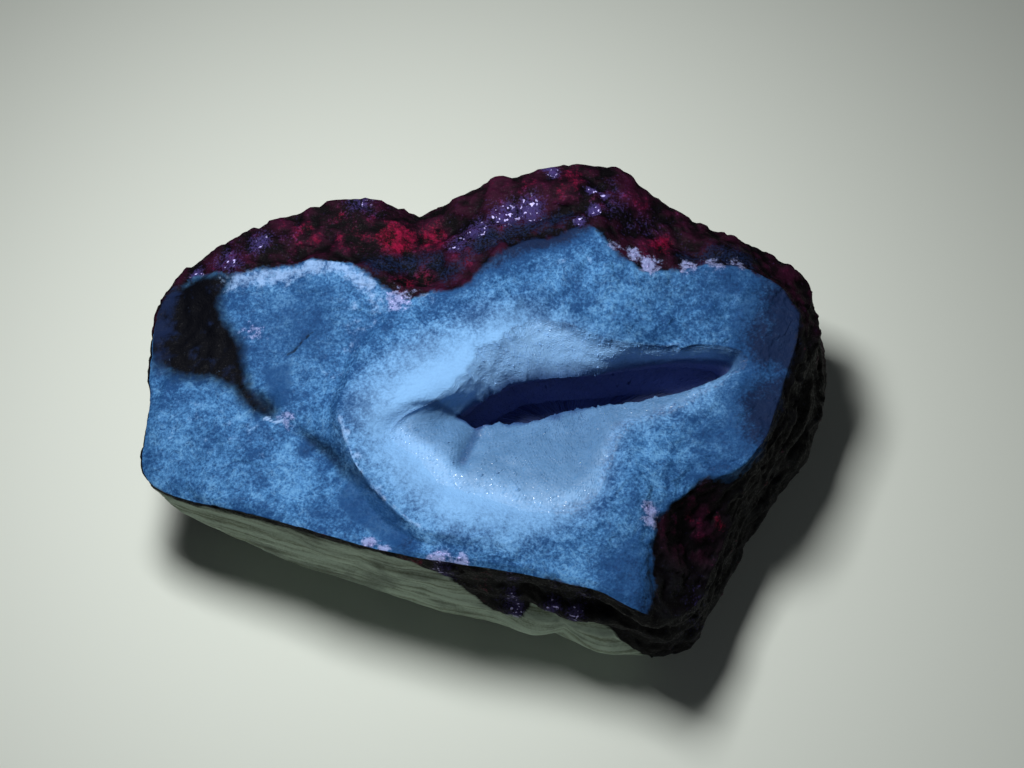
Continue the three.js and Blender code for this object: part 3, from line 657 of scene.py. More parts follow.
def wall_normal(angle, depth):
    """The direction from the hollow into the stone, square to the wall, but level at the lip."""
    turn, step = 0.03, 0.1
    along = wall_point(angle + turn, depth) - wall_point(angle - turn, depth)

    def down_to(lower):
        span = wall_point(angle, lower) - wall_point(angle, lower - step)
        return span / np.linalg.norm(span, axis=-1, keepdims=True)

    down = down_to(np.maximum(step, depth)) + down_to(np.minimum(3, depth + step))
    normal = np.cross(down, along)
    normal[..., 2] = np.where(depth == 0, 0, normal[..., 2])
    return normal / np.linalg.norm(normal, axis=-1, keepdims=True)


def crease_depth(wall, depth):
    """How far a crease between two round lobes of the bowl is pressed into the wall."""
    middle = smooth_step(0, 0.25, depth) * smooth_step(1.3, 0.9, depth)
    return 1.1 * middle * bell(line_distance(wall, BOWL_CREASE), 1.5)


def behind_wall(angle, depth, distance):
    """The wall moved into the stone."""
    depth = np.broadcast_to(np.asarray(depth, float), angle.shape)
    wall = wall_point(angle, depth)
    return wall + (distance + crease_depth(wall, depth))[..., None] * wall_normal(angle, depth)


def with_broken_edges(points):
    """Points with the jagged teeth of the lip and of the slit's edges."""
    points = toothed(points, lip, lip_teeth, 1.6, 21)
    return toothed(points, slit, slit_teeth, 1.4, 41)


def raised(place, height):
    """Places with a height added."""
    lifted = place.copy()
    lifted[..., 2] += height
    return lifted


def rolled_lip(points, angle):
    """Points lowered near the lip, where the face rolls over into the bowl in front and to the west."""
    angle = np.broadcast_to(angle, points.shape[:-1])
    place = lip(angle)
    distance = np.linalg.norm((points - place)[..., :2], axis=-1)
    share = smooth_step(2, -2.5, place[..., 1] - 0.1 * place[..., 0])
    share = np.maximum(share, 1.2 * rolled_behind(place))
    return raised(points, -LIP_ROLL * share * bell(distance, 2.6))


# The stone

FLOOR_WALL = 1.2  # the same as STONE_WALL in the middle of the floor
HOLLOW_DEPTHS = [3, 2.4, 1.8, 1.3, 1, 0.75, 0.5, 0.25]
BAND_ROWS, STEP_ROWS, OUTER_ROWS, SIDE_ROWS, UNDER_ROWS = 26, 6, 66, 44, 14
# How far each place of the grid has come: on the top by its rings, from 0 at the lip to 5 at the crest.
HOLLOW, FACE_EDGE_AT, CREST_AT, SIDE, UNDERSIDE = -1.0, 4, 5, 6.0, 7.0
FACE_CHIP, FACE_RELIEF = 17, 0.65  # from one ridge of the broken face to the next, and its height
RIND_LUMP, RIND_RELIEF = 15, 0.8  # from one large lump of the rind to the next, and its height
NOWHERE = 60  # further below the crest than any place of the stone


def top_relief(place):
    """Height added to the top: flat chips of a broken face, and round swells and dents."""
    height = FACE_RELIEF * relief(place, FACE_CHIP, sharp_wave)
    for x, y, reach, rise in TOP_FEATURES:
        squared = (place[..., 0] - x) ** 2 + (place[..., 1] - y) ** 2
        height = height + rise * np.exp(-squared / reach**2)
    return height


def rind_relief(place):
    """The large lumps of the weathered rind, bulging between creases."""
    return RIND_RELIEF * (1.6 * np.abs(relief(place, RIND_LUMP, round_wave)) - 1)


def rind_width(angle):
    """The width of the strip of rind between the broken face and the crest."""
    return np.linalg.norm(crest(angle) - face_edge(angle), axis=-1)


def side_height(angle):
    """The height of the sides from 0 to 1, against the height where their relief is whole."""
    return np.clip((crest(angle)[:, 2] - waist(angle)[:, 2]) / LEDGED_HEIGHT, 0, 1)


def unevenness(rows):
    """The share of the sides' large relief: whole, but less on the even skin of the front."""
    return 1 - 0.65 * smooth_step(-10, -14, rows[..., 1]) * smooth_step(6, -4, rows[..., 0])


def top_rows(angle):
    """The top from the hollow's rim to the crest, and how far each point has come by the named rings."""
    rim = behind_wall(angle, 0, RIM_WALL)
    inner, inner_part = even_rows([rim, band_edge(angle)], BAND_ROWS)
    step, step_part = even_rows([band_edge(angle), band_foot(angle)], STEP_ROWS)
    stations = [band_foot(angle), groove(angle), face_edge(angle), crest(angle)]
    outer, outer_part = even_rows(stations, OUTER_ROWS)
    rows = np.concatenate([inner, step, outer])
    part = np.concatenate([inner_part, 1 + step_part, 2 + outer_part])
    fade = np.clip(part, 0, 1)
    rind_share = np.clip(3 * np.minimum(part - FACE_EDGE_AT, CREST_AT - part), 0, 1)
    rind_share *= smooth_step(2, 9, rind_width(angle))
    return raised(rows, fade * top_relief(rows) + rind_share * rind_relief(rows)), part


def side_rows(angle):
    """The sides from the crest to the waist, ledge under ledge, with the rind's large lumps."""
    top, bottom = crest(angle), waist(angle)
    top = raised(top, top_relief(top))
    share = np.linspace(0, 1, SIDE_ROWS, endpoint=False)[:, None]
    rows = top * (1 - share[..., None]) + bottom * share[..., None]
    ledge_share = share + 0.03 * smooth_noise(rows, 9, 77)
    out = np.interp(ledge_share, *zip(*SIDE_LEDGES)) + np.clip(share / 0.14, 0, 1) * rind_relief(rows)
    return rows + (unevenness(rows) * side_height(angle) ** 2 * out)[..., None] * outwards(angle)


def under_rows(angle):
    """The underside, rounding in from the waist to the foot and the flat base."""
    top, bottom = waist(angle), foot(angle)
    height = side_height(angle)
    share = np.linspace(0, 1, UNDER_ROWS, endpoint=False)[:, None]
    curve = share**UNDERCUT_CURVE
    rows = top * (1 - curve[..., None]) + bottom * curve[..., None]
    rows[..., 2] = top[:, 2] * (1 - share) + bottom[:, 2] * share
    weight = unevenness(rows) * (1 - 0.5 * share) * height**2
    rows = rows + (weight * rind_relief(rows))[..., None] * outwards(angle)
    base = bottom * BASE_SHARE
    base[:, 2] = 0
    foot_row = bottom + (0.5 * height**2 * rind_relief(bottom))[:, None] * outwards(angle)
    return np.concatenate([rows, foot_row[None], base[None]])


def stone_surface(settings):
    """The stone's grid of points before the fine relief, how far each has come, its colours, and its rays."""
    angle = angle_at(np.arange(settings.columns) / settings.columns)
    hollow = np.stack([behind_wall(angle, depth, STONE_WALL) for depth in HOLLOW_DEPTHS])
    top, part = top_rows(angle)
    side, under = side_rows(angle), under_rows(angle)
    grid = np.concatenate([hollow, top, side, under])
    grid = rolled_lip(with_broken_edges(grid), angle)
    places = [(hollow, HOLLOW), (top, part), (side, SIDE), (under, UNDERSIDE)]
    along = np.concatenate([np.broadcast_to(value, rows.shape[:2]) for rows, value in places])
    return grid, along, colour_fields(grid, along, angle), angle


def colour_fields(grid, along, angle):
    """Fields that the stone's material reads: distances in millimetres to the outlines, and soft spots."""
    on_top = along < CREST_AT
    moved = wandered(grid)
    rind = -depth_inside(moved, BLUE_OUTLINE)
    crest_z = crest(angle)[:, 2]
    slate = max_of(bell(line_distance(moved, line), 2.3) for line in SLATE_LINES)
    below = crest_z - grid[..., 2] + 2 * layered_noise(grid, 6, 341)
    near_top = np.maximum(smooth_step(7, 1, below), smooth_step(-18, -22, grid[..., 1]))
    # Painted shadows of the steps.
    step_shadow = max_of(depth_inside(moved, outline) for outline in (RIDGE_STEP_SHADOW_OUTLINE, GROOVE_STEP_SHADOW_OUTLINE))
    # Painted shade along the groove between the western facets.
    groove_dark = bell(line_distance(moved, GROOVE_LINE), 1.3)
    groove_dark *= 0.25 + 0.75 * smooth_step(-22, -9, grid[..., 1])
    groove_dark *= 1 - 0.85 * bell(grid[..., 0] + 34.5, 2.5)
    return {
        "rind": np.where(on_top, rind, 4),
        "pale_and_highlight": np.where(on_top, pale_and_highlight_of(grid, moved, rind), 0),
        "slate": np.where(on_top, slate, 0),
        "band": np.where(on_top, depth_inside(moved, DARK_BAND_OUTLINE), -9),
        "step_shadow": np.where(on_top, step_shadow, -9),
        "groove": np.where(on_top, groove_dark, 0),
        "crack": np.where(on_top, bell(line_distance(grid, CRACK_LINE), 0.3), 0),
        "halo": halo_depth(grid),
        "shade": tone_and_shade_of(grid),
        "maroon": np.maximum(smooth_step(6, 15, grid[..., 1]), spots(moved, [(29, -21, 7, 1)])),
        "red": near_top * spots(moved, RED_SPOTS),
        "violet": near_top * spots(moved, VIOLET_SPOTS),
        "lilac": np.where(on_top, spots(moved, LILAC_SPOTS), 0),
        "skin": np.where(on_top, -9, crest_z - grid[..., 2] - skin_top(grid)),
    }


def pale_and_highlight_of(places, moved, rind):
    """Where the face is whitest: pale chips, a painted glint along an arc, a painted highlight along the
    step's ridge, and a pale fringe to the north-west.
    """
    across = smooth_step(-50, -44, moved[..., 0]) * smooth_step(-17, -22, moved[..., 0])
    fringe = 1.05 * bell(rind + 1.4, 1.9) * across * smooth_step(10, 14, moved[..., 1])
    arc = 1.7 * bell(line_distance(places, GLINT_ARC_LINE), 0.25)
    ridge = 0.75 * bell(line_distance(moved, RIDGE_HIGHLIGHT_LINE), 0.45)
    return max_of([spots(moved, PALE_SPOTS), fringe, arc, ridge])


def wandered(places):
    """Places moved about by noise, so that what is drawn at them gets a natural edge."""
    level = [1.1 * layered_noise(places, 4, seed) for seed in (301, 311)]
    return places + np.stack([*level, np.zeros_like(level[0])], axis=-1)


def halo_depth(places):
    """The distance inside the milky halo round the hollow, less to the east, where it is weaker."""
    return depth_inside(wandered(places), HALO_OUTLINE) - 6 * smooth_step(-4, 26, places[..., 0])


def tone_and_shade_of(places):
    """Where the blue is darker: darker tone and painted shade in spots, painted shade in the bowl's crease,
    the crack west of the slit, and near the slate.
    """
    moved = wandered(places)
    # Painted shade along the bowl's crease.
    crease = 1.1 * bell(line_distance(places, BOWL_CREASE), 1.1)
    crack = 1.3 * bell(line_distance(places, WEST_CRACK), 0.45) * smooth_step(-19, -10, places[..., 0])
    near_slate = 2.9 * bell(line_distance(moved, BACK_SHADE_LINE), 2.4)
    return max_of([spots(moved, TONE_AND_SHADE_SPOTS), crease, crack, near_slate])


def skin_top(grid):
    """How far below the crest the olive skin starts: by the front's own line, and nowhere else."""
    front = np.interp(grid[..., 0], *zip(*SKIN_LINE)) + 0.5 * layered_noise(grid, 5, 331)
    facing_front = smooth_step(-10, -14, grid[..., 1]) * smooth_step(30, 26, grid[..., 0])
    return NOWHERE + (front - NOWHERE) * facing_front


def stone_relief(settings, grid, along, fields, angle):
    """Fine relief of the stone in millimetres: lumps on the rind, flat chips on the broken face.

    Lumps are folded noise 5.5 mm across with chips of 2 mm and grains of 1.3 mm on them, chips are tilted
    planes 4.5 and 1.7 mm across, and the groove and the crack are sunk.
    """
    rind = smooth_step(-0.6, 0.6, fields["rind"])
    band = smooth_step(-0.8, 0.8, fields["band"])
    halo = smooth_step(-5, 1, fields["halo"])
    lumps = 1.5 * np.abs(layered_noise(grid, 5.5, 111)) - 0.5 + 0.45 * chipped_noise(grid, 2.0, 121)
    lumps += 0.35 * layered_noise(grid, 1.3, 131, 2)
    chips = chipped_noise(grid, 4.5, 141) + 0.5 * chipped_noise(grid, 1.7, 151)
    chips += 0.5 * layered_noise(grid, 1.0, 161, 2)
    rough = np.maximum(rind, 0.8 * band)
    chip_share = (1 - rough) * (1 - 0.55 * halo) * smooth_step(0, 0.35, along)
    lump_share = rough * smooth_step(7.6, 6.9, along) * (1 - 0.75 * smooth_step(-1, 1, fields["skin"]))
    height = settings.lump_height / MM * lump_share * lumps + settings.chip_height / MM * chip_share * chips
    height -= (0.8 * fields["groove"] + 0.35 * fields["crack"]) * (1 - rind)
    narrow = smooth_step(3.2, 4, along) * smooth_step(6.5, 5, along)
    height *= 1 - narrow * (1 - np.clip(rind_width(angle) / 4, 0.25, 1))
    # The lumps' height, which the material uses to paint shade in black in the creases between them.
    fields["crease"] = np.where(along < 0, 0, lumps)
    return np.where(along < 0, 0, height)


FRAME_FIT = {}


def fit_to_frame(stone_points):
    """Works out the scale and the shift that lay the stone's box on the box of the frame's stone."""
    low, high = (np.array(corner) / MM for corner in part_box("stone"))
    fine_low, fine_high = stone_points.min(axis=0), stone_points.max(axis=0)
    scale = (high - low) / (fine_high - fine_low)
    FRAME_FIT.update(scale=scale, shift=low - fine_low * scale)


def in_frame(points):
    """Points of either piece, laid in the frame with the stone's own scale and shift."""
    if not FRAME_FIT:
        raise RuntimeError("Build the stone first, because the crust is laid in the frame with it")
    return points * FRAME_FIT["scale"] + FRAME_FIT["shift"]


class GEODE_OT_stone(bpy.types.Operator):
    """Build the stone on its rings"""

    bl_idname = "geode.stone"
    bl_label = "Build the stone"

    def execute(self, context):
        settings = context.scene.geode_stone
        grid, along, fields, angle = stone_surface(settings)
        height = stone_relief(settings, grid, along, fields, angle)
        height[-1] = 0
        grid = grid + height[..., None] * surface_normals(grid)
        grid[-1, :, 2] = 0
        floor = [*CENTRE, FLOOR_MIDDLE_Z - FLOOR_WALL]
        points = np.vstack([floor, grid.reshape(-1, 3), [0, 0, 0]])
        fit_to_frame(points)
        faces = closed_faces(*grid.shape[:2])
        values = {name: np.pad(field.ravel(), 1, mode="edge") for name, field in fields.items()}
        smooth = face_rows(*grid.shape[:2]) >= len(HOLLOW_DEPTHS)
        material = chalcedony_and_rind(settings)
        stone = make_piece("Stone", in_frame(points), faces, material, values, smooth)
        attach(stone, "root")
        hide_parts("stone")
        return {"FINISHED"}


# The crust of crystals

CRYSTAL_SEED = 11
JITTER = 0.65  # how far a crystal may stand from its place in the grid, against one step of it
WALL_ROWS = [(0.0, 1.0, 62), (1.0, 2.0, 24), (2.0, 2.85, 14)]
BACK_DEPTHS = [0.25, 0.5, 0.75, 1, 1.3, 1.8, 2.4, 3]
RIM_DROP, SUNK_DROP = 0.15, 0.9  # how far the crust's hidden edge goes down behind the lip, in two steps


def crystal_depths():
    """Depths of the rows of crystals, from the floor up to the lip."""
    parts = [np.linspace(low, high, rows, endpoint=False) for low, high, rows in WALL_ROWS]
    return np.concatenate(parts)[::-1]


def crystal_rows(settings):
    """The druse: every third point of a slanting grid is a crystal's tip, with six flat faces round it.

    The wall is waved by noise first, then the tips stand out of it by a random share of their height. They
    are low towards the slit's middle line, and a few tall ones stand in the bowl and on the rolled lip.
    """
    random = np.random.default_rng(CRYSTAL_SEED)
    depths = crystal_depths()
    rows, columns = len(depths), settings.columns
    row = np.arange(rows)[:, None]
    column = np.arange(columns)[None, :]
    calm = (smooth_step(0, 0.2, depths) * (1 - bell(depths - 1, 0.1)))[:, None]
    shift = column + (rows - row) / 2 + JITTER * calm * (random.random((rows, columns)) - 0.5)
    angle = angle_at(shift / columns)
    step = np.gradient(depths)[:, None]
    depth = depths[:, None] + JITTER * (0.3 + 0.7 * calm) * step * (random.random((rows, columns)) - 0.5)
    depth = np.clip(depth, 0, 3)
    wall = wall_point(angle, depth)
    normal = wall_normal(angle, np.maximum(depth, 0.01))
    waves = 0.6 * layered_noise(wall, 7, 401) + 0.18 * layered_noise(wall, 2.2, 411, 2) - 0.1
    inward = np.minimum(depth / 0.12, 1) * waves + crease_depth(wall, depth)
    wall = rolled_lip(with_broken_edges(wall + inward[..., None] * normal), angle)
    draw = random.random((3, rows, columns))
    is_tip = ((row + column) % 3 == 0) & (draw[0] > 0.25)
    cluster = smooth_step(-0.3, 0.3, layered_noise(wall, 7, 431))
    sparse = smooth_step(0.05, 0.2, depth) * cluster * (draw[1] > 0.98)
    sugar = 0.5 * rolled_behind(wall) * smooth_step(0.45, 0.1, depth) * (draw[1] > 0.94)
    tall = settings.crystal_height / MM
    tall = tall + (settings.edge_height / MM - tall) * np.maximum(sparse, sugar)
    room = np.clip(0.3 * np.abs(wall[..., 1] - slit_axis(wall[..., 0])), 0, 1)
    height = np.where(is_tip, tall * (0.2 + 0.8 * draw[2] ** 2) * room, 0)
    return wall - height[..., None] * normal, depth


class GEODE_OT_crystals(bpy.types.Operator):
    """Build the crust of quartz crystals in the hollow"""

    bl_idname = "geode.crystals"
    bl_label = "Build the crystals"

    def execute(self, context):
        settings = context.scene.geode_crystals
        front, depth = crystal_rows(settings)
        thickness = settings.thickness / MM
        angle = angle_at(np.arange(settings.columns) / settings.columns)
        rim = raised(behind_wall(angle, 0, STONE_WALL), -RIM_DROP)
        sunk = raised(behind_wall(angle, 0, thickness), -SUNK_DROP)
        back = [behind_wall(angle, level, thickness) for level in BACK_DEPTHS]
        outer = np.stack([rim, sunk, *back])
        grid = np.concatenate([front, rolled_lip(with_broken_edges(outer), angle)])
        hidden = np.zeros((len(grid) - len(front), settings.columns))
        floor_front = [*CENTRE, FLOOR_MIDDLE_Z]
        floor_back = [*CENTRE, FLOOR_MIDDLE_Z - thickness]
        points = in_frame(np.vstack([floor_front, grid.reshape(-1, 3), floor_back]))
        faces = closed_faces(*grid.shape[:2])
        depth = np.concatenate([depth, hidden])
        # Behind the slit, where the back wall's painted light is laid on.
        behind = smooth_step(-0.5, 2, grid[..., 1] - slit_axis(grid[..., 0]))
        frayed = depth + 0.12 * layered_noise(grid, 3, 441)
        fields = {
            "depth": depth,
            "halo": halo_depth(grid),
            "shade": tone_and_shade_of(grid),
            # Painted shade at the throat, then painted light down in the cavity.
            "dark": 0.9 * smooth_step(0.86 - 0.26 * behind, 1.02, frayed),
            "inside": smooth_step(1.05, 1.35, depth),
            "back": behind,
        }
        values = {name: np.pad(field.ravel(), 1, mode="edge") for name, field in fields.items()}
        material = quartz_druse(settings, context.scene.geode_stone)
        crust = make_piece("Crystal_crust", points, faces, material, values, np.zeros(len(faces), bool))
        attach(crust, "root")
        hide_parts("crystal_crust")
        return {"FINISHED"}


# Materials

EASED = {"interpolation_type": "SMOOTHSTEP"}
COLOURS = {"data_type": "RGBA"}

# Cloudy patterns as (size in millimetres, detail, roughness, bend).
CHALCEDONY_PATTERNS = [
    (0.45, 3.0, 0.65, 0.0),  # grains, far finer on the real stone and drawn as coarse as they need to show
    (1.7, 4.0, 0.65, 0.8),  # tufts of fibres
    (3.4, 4.0, 0.55, 1.6),  # pale wisps where tufts meet
    (6.5, 3.0, 0.6, 0.0),  # paler and darker clouds
]
RIND_PATTERNS = [
    (0.4, 2.0, 0.6, 0.0),  # specks of stain
    # Painted glints: specks that stand in for light off small facets.
    (0.7, 1.0, 0.5, 0.0),  # facets that glint
    (0.9, 3.0, 0.7, 0.0),  # mottling of the red
    (1.6, 5.0, 0.75, 0.0),  # blotches of stain
    (8.0, 4.0, 0.6, 0.0),  # dark stains on the clay skin
]
RIND_FACET = 1.9  # the rind's small broken facets, in millimetres
STREAK_PATTERNS = [(1.1, 5.0, 0.65, 0.0)]  # the clay skin's layers
STREAK_STRETCH = (0.08, 0.08, 1.0)  # the layers run on along the sides, and lie close in height
FACE_PATTERNS = [
    (0.35, 2.0, 0.5, 0.0),  # facets of single grains
    (0.9, 5.0, 0.7, 0.0),  # grains, which also fray the borders of the colours
    (1.6, 4.0, 0.7, 0.0),  # tatters of the pale chips
    (2.6, 4.0, 0.6, 0.0),  # stains in the dark band
]
DRUSE_PATTERNS = [
    (0.5, 1.0, 0.5, 0.0),  # crystal faces that flash
    (0.6, 3.0, 0.6, 0.0),  # crystals and the gaps between them
    (5.0, 4.0, 0.6, 0.0),  # milky clouds
]
STONE_FIELDS = [
    "rind", "band", "step_shadow", "groove", "crack", "halo", "shade", "maroon", "red", "violet", "lilac", "pale_and_highlight",
    "slate", "skin", "crease",
]
DRUSE_FIELDS = ["depth", "halo", "shade", "back", "dark", "inside"]


def add_node(tree, kind, output, inputs=None, settings=None):
    """Adds a node with its properties and its inputs, values or links, and gives one of its outputs."""
    node = tree.nodes.new(kind)
    for name, value in (settings or {}).items():
        setattr(node, name, value)
    for name, value in (inputs or {}).items():
        if isinstance(value, bpy.types.NodeSocket):
            tree.links.new(value, node.inputs[name])
        else:
            node.inputs[name].default_value = value
    return node.outputs[output]


def start_material(name):
    """A new material, its empty node tree, and the place of each point in millimetres."""
    material = bpy.data.materials.new(name)
    material.use_nodes = True
    tree = material.node_tree
    tree.nodes.clear()
    scaled = {"Vector": add_node(tree, "ShaderNodeTexCoord", "Object"), "Scale": 1 / MM}
    return material, tree, add_node(tree, "ShaderNodeVectorMath", "Vector", scaled, {"operation": "SCALE"})


def finish_material(tree, inputs):
    """Closes a material with one surface shader."""
    surface = add_node(tree, "ShaderNodeBsdfPrincipled", "BSDF", inputs)
    tree.links.new(surface, tree.nodes.new("ShaderNodeOutputMaterial").inputs["Surface"])


def read_fields(tree, names):
    """The mesh's own float attributes."""
    kind = "ShaderNodeAttribute"
    return {name: add_node(tree, kind, "Fac", None, {"attribute_name": name}) for name in names}


def patterns(tree, place, table):
    """Cloudy noise from 0 to 1 for each row of a table of patterns."""
    result = []
    for size, detail, roughness, bend in table:
        inputs = {"Vector": place, "Scale": 1 / size, "Detail": detail, "Roughness": roughness}
        inputs["Distortion"] = bend
        result.append(add_node(tree, "ShaderNodeTexNoise", "Fac", inputs, {"normalize": True}))
    return result


def opaque(colour):
    """A setting's colour with full alpha. A node's output stays as it is."""
    return colour if isinstance(colour, bpy.types.NodeSocket) else (*colour, 1.0)


def weighed(tree, start, *terms):
    """A number or a value, plus each value of the terms times its weight."""
    for value, weight in terms:
        inputs = {0: value, 1: weight, 2: start}
        start = add_node(tree, "ShaderNodeMath", "Value", inputs, {"operation": "MULTIPLY_ADD"})
    return start


def span(value, low, high, start, end):
    """Inputs that turn a value between low and high into one between start and end."""
    return {"Value": value, "From Min": low, "From Max": high, "To Min": start, "To Max": end}


def layered(tree, colour, *layers):
    """A colour with others laid over it, one after another.

    A layer is its colour, a value, the low where none of it shows, the high where most of it shows, and
    how much that is. Its share rises smoothly between them.
    """
    for over, value, low, high, most in layers:
        share = add_node(tree, "ShaderNodeMapRange", "Result", span(value, low, high, 0.0, most), EASED)
        colour = add_node(tree, "ShaderNodeMix", 2, {0: share, 6: opaque(colour), 7: opaque(over)}, COLOURS)
    return colour


def chalcedony_colour(tree, place, field, settings):
    """The blue of fibrous chalcedony, milkier in the halo and darker under the shade field, which is partly
    its own darker tone and partly painted shade.
    """
    grain, fibre, swirl, cloud = patterns(tree, place, CHALCEDONY_PATTERNS)
    tufts = weighed(tree, -0.25, (grain, 0.55), (fibre, 0.45), (cloud, 0.5))
    off_middle = {0: weighed(tree, -0.5, (swirl, 1.0))}
    wisp = add_node(tree, "ShaderNodeMath", "Value", off_middle, {"operation": "ABSOLUTE"})
    wisp_most = add_node(tree, "ShaderNodeMapRange", "Result", span(cloud, 0.42, 0.6, 0.0, 0.4), EASED)
    return layered(
        tree,
        settings.deep_blue,
        (settings.mid_blue, tufts, 0.36, 0.66, 1.0),
        (settings.pale_blue, tufts, 0.52, 0.8, 0.7),
        (settings.pale_blue, wisp, 0.035, 0.0, wisp_most),
        (settings.halo, weighed(tree, field["halo"], (tufts, 12.0)), 0.0, 11.0, 0.9),
        # The shade field lays on deep blue and slate: darker chalcedony in places, and painted shade where
        # the light falls off to the east and in the bowl's crease.
        (settings.deep_blue, weighed(tree, field["shade"], (tufts, -1.2)), -0.5, 0.5, 0.85),
        (settings.slate, weighed(tree, field["shade"], (tufts, -4.0)), -1.1, 0.5, 0.92),
    )


def rind_colour(tree, place, field, settings):
    """Iron-stained rind: maroon and red, black painted as shade in the creases, violet with painted glints,
    and clay skin in front.
    """
    fleck, painted_glint_specks, mottle, blotch, stain = patterns(tree, place, RIND_PATTERNS)
    cells = {"Vector": place, "Scale": 1 / RIND_FACET, "Randomness": 1.0}
    facets = add_node(tree, "ShaderNodeTexVoronoi", "Color", cells, {"feature": "F1"})
    facet = add_node(tree, "ShaderNodeSeparateColor", "Red", {"Color": facets})
    base = layered(tree, settings.dark_rind, (settings.rind, field["maroon"], 0.1, 0.9, 1.0))
    slate = layered(tree, settings.band, (settings.slate, fleck, 0.35, 0.62, 1.0))
    red = weighed(tree, field["red"], (blotch, 2.4), (facet, 0.3), (fleck, 0.5), (field["crease"], 0.4))
    red_most = add_node(tree, "ShaderNodeMapRange", "Result", span(mottle, 0.4, 0.62, 0.35, 1.0), EASED)
    painted_glint_most = add_node(
        tree, "ShaderNodeMapRange", "Result", span(field["violet"], 0.5, 0.9, 0.0, 1.0), EASED
    )
    rind = layered(
        tree,
        settings.black,
        # Painted shade: black shows in the creases, where the lumps are low.
        (base, weighed(tree, field["crease"], (blotch, 1.8), (facet, 0.3)), 0.4, 1.6, 1.0),
        (settings.red, red, 1.95, 2.9, red_most),
        (settings.violet, weighed(tree, field["violet"], (fleck, 1.6), (blotch, 1.6)), 1.95, 2.9, 0.8),
        # Painted glints on the violet patches.
        (settings.painted_glint, weighed(tree, painted_glint_specks, (field["violet"], 0.12)), 0.74, 0.8, painted_glint_most),
        (slate, weighed(tree, field["slate"], (blotch, 2.4), (fleck, 0.8)), 1.8, 2.8, 0.9),
    )
    stretch = {"Vector": place, "Scale": STREAK_STRETCH}
    stretched = add_node(tree, "ShaderNodeMapping", "Vector", stretch, {"vector_type": "POINT"})
    streak = weighed(tree, patterns(tree, stretched, STREAK_PATTERNS)[0], (fleck, 0.25))
    skin = layered(
        tree,
        settings.skin_dark,
        (settings.skin, streak, 0.425, 0.725, 1.0),
        (settings.dark_rind, stain, 0.45, 0.65, 0.45),
    )
    return layered(tree, rind, (skin, weighed(tree, field["skin"], (streak, 1.6)), 0.6, 1.6, 1.0))


def chalcedony_and_rind(settings):
    """Fibrous blue chalcedony, broken and not polished, in an iron-stained weathered rind.

    Chalcedony grew as tufts of fine fibres, so it breaks with a dull granular face of paler and darker
    tufts, milkier towards the hollow. The rind is weathered and iron-stained: near black, with red where
    the stain is thin, and an olive clay skin low on the front.
    """
    material, tree, place = start_material("Blue chalcedony and iron-stained rind")
    field = read_fields(tree, STONE_FIELDS)
    fleck, grain, tatters, stain = patterns(tree, place, FACE_PATTERNS)
    x = add_node(tree, "ShaderNodeSeparateXYZ", "X", {"Vector": place})
    west = add_node(tree, "ShaderNodeMapRange", "Result", span(x, -53.0, -57.5, 0.0, 0.3), EASED)
    band = layered(tree, settings.band, (settings.slate, weighed(tree, stain, (west, 1.0)), 0.55, 0.85, 1.0))
    lilac = layered(
        tree,
        settings.violet,
        (settings.lilac, grain, 0.3, 0.55, 1.0),
        # Painted glints on the lilac chips.
        (settings.painted_glint, fleck, 0.62, 0.68, 1.0),
    )
    crack_inputs = {0: field["crack"], 1: grain}
    crack = add_node(tree, "ShaderNodeMath", "Value", crack_inputs, {"operation": "MULTIPLY"})
    rind = rind_colour(tree, place, field, settings)
    colour = layered(
        tree,
        chalcedony_colour(tree, place, field, settings),
        # Painted shadow of the steps, in deep blue.
        (settings.deep_blue, weighed(tree, field["step_shadow"], (grain, 2.4)), 0.8, 1.8, 0.8),
        # Painted shade of the groove, in the dark band's colour.
        (settings.band, field["groove"], 0.2, 1.0, 0.7),
        (settings.band, crack, 0.2, 0.5, 0.8),
        (band, weighed(tree, field["band"], (grain, 2.4)), -0.6, 2.6, 1.0),
        # Pale chips and fringe, and painted highlights: the glint along the arc and the edge of the step's
        # ridge.
        (settings.fringe, weighed(tree, field["pale_and_highlight"], (grain, 1.6), (tatters, 2.2)), 2.35, 3.2, 0.75),
        (rind, weighed(tree, field["rind"], (grain, 2.4)), 0.7, 1.7, 1.0),
        (lilac, weighed(tree, field["lilac"], (grain, 2.2)), 1.55, 2.1, 0.85),
    )
    gloss = add_node(tree, "ShaderNodeMapRange", "Result", span(fleck, 0.5, 0.7, 0.72, 0.42), EASED)
    bump = {"Strength": 0.7, "Distance": 0.25 * MM, "Height": weighed(tree, grain, (fleck, 0.5))}
    normal = add_node(tree, "ShaderNodeBump", "Normal", bump)
    dull = {"IOR": 1.54, "Specular IOR Level": 0.06}
    finish_material(tree, {"Base Color": colour, "Roughness": gloss, "Normal": normal, **dull})
    return material


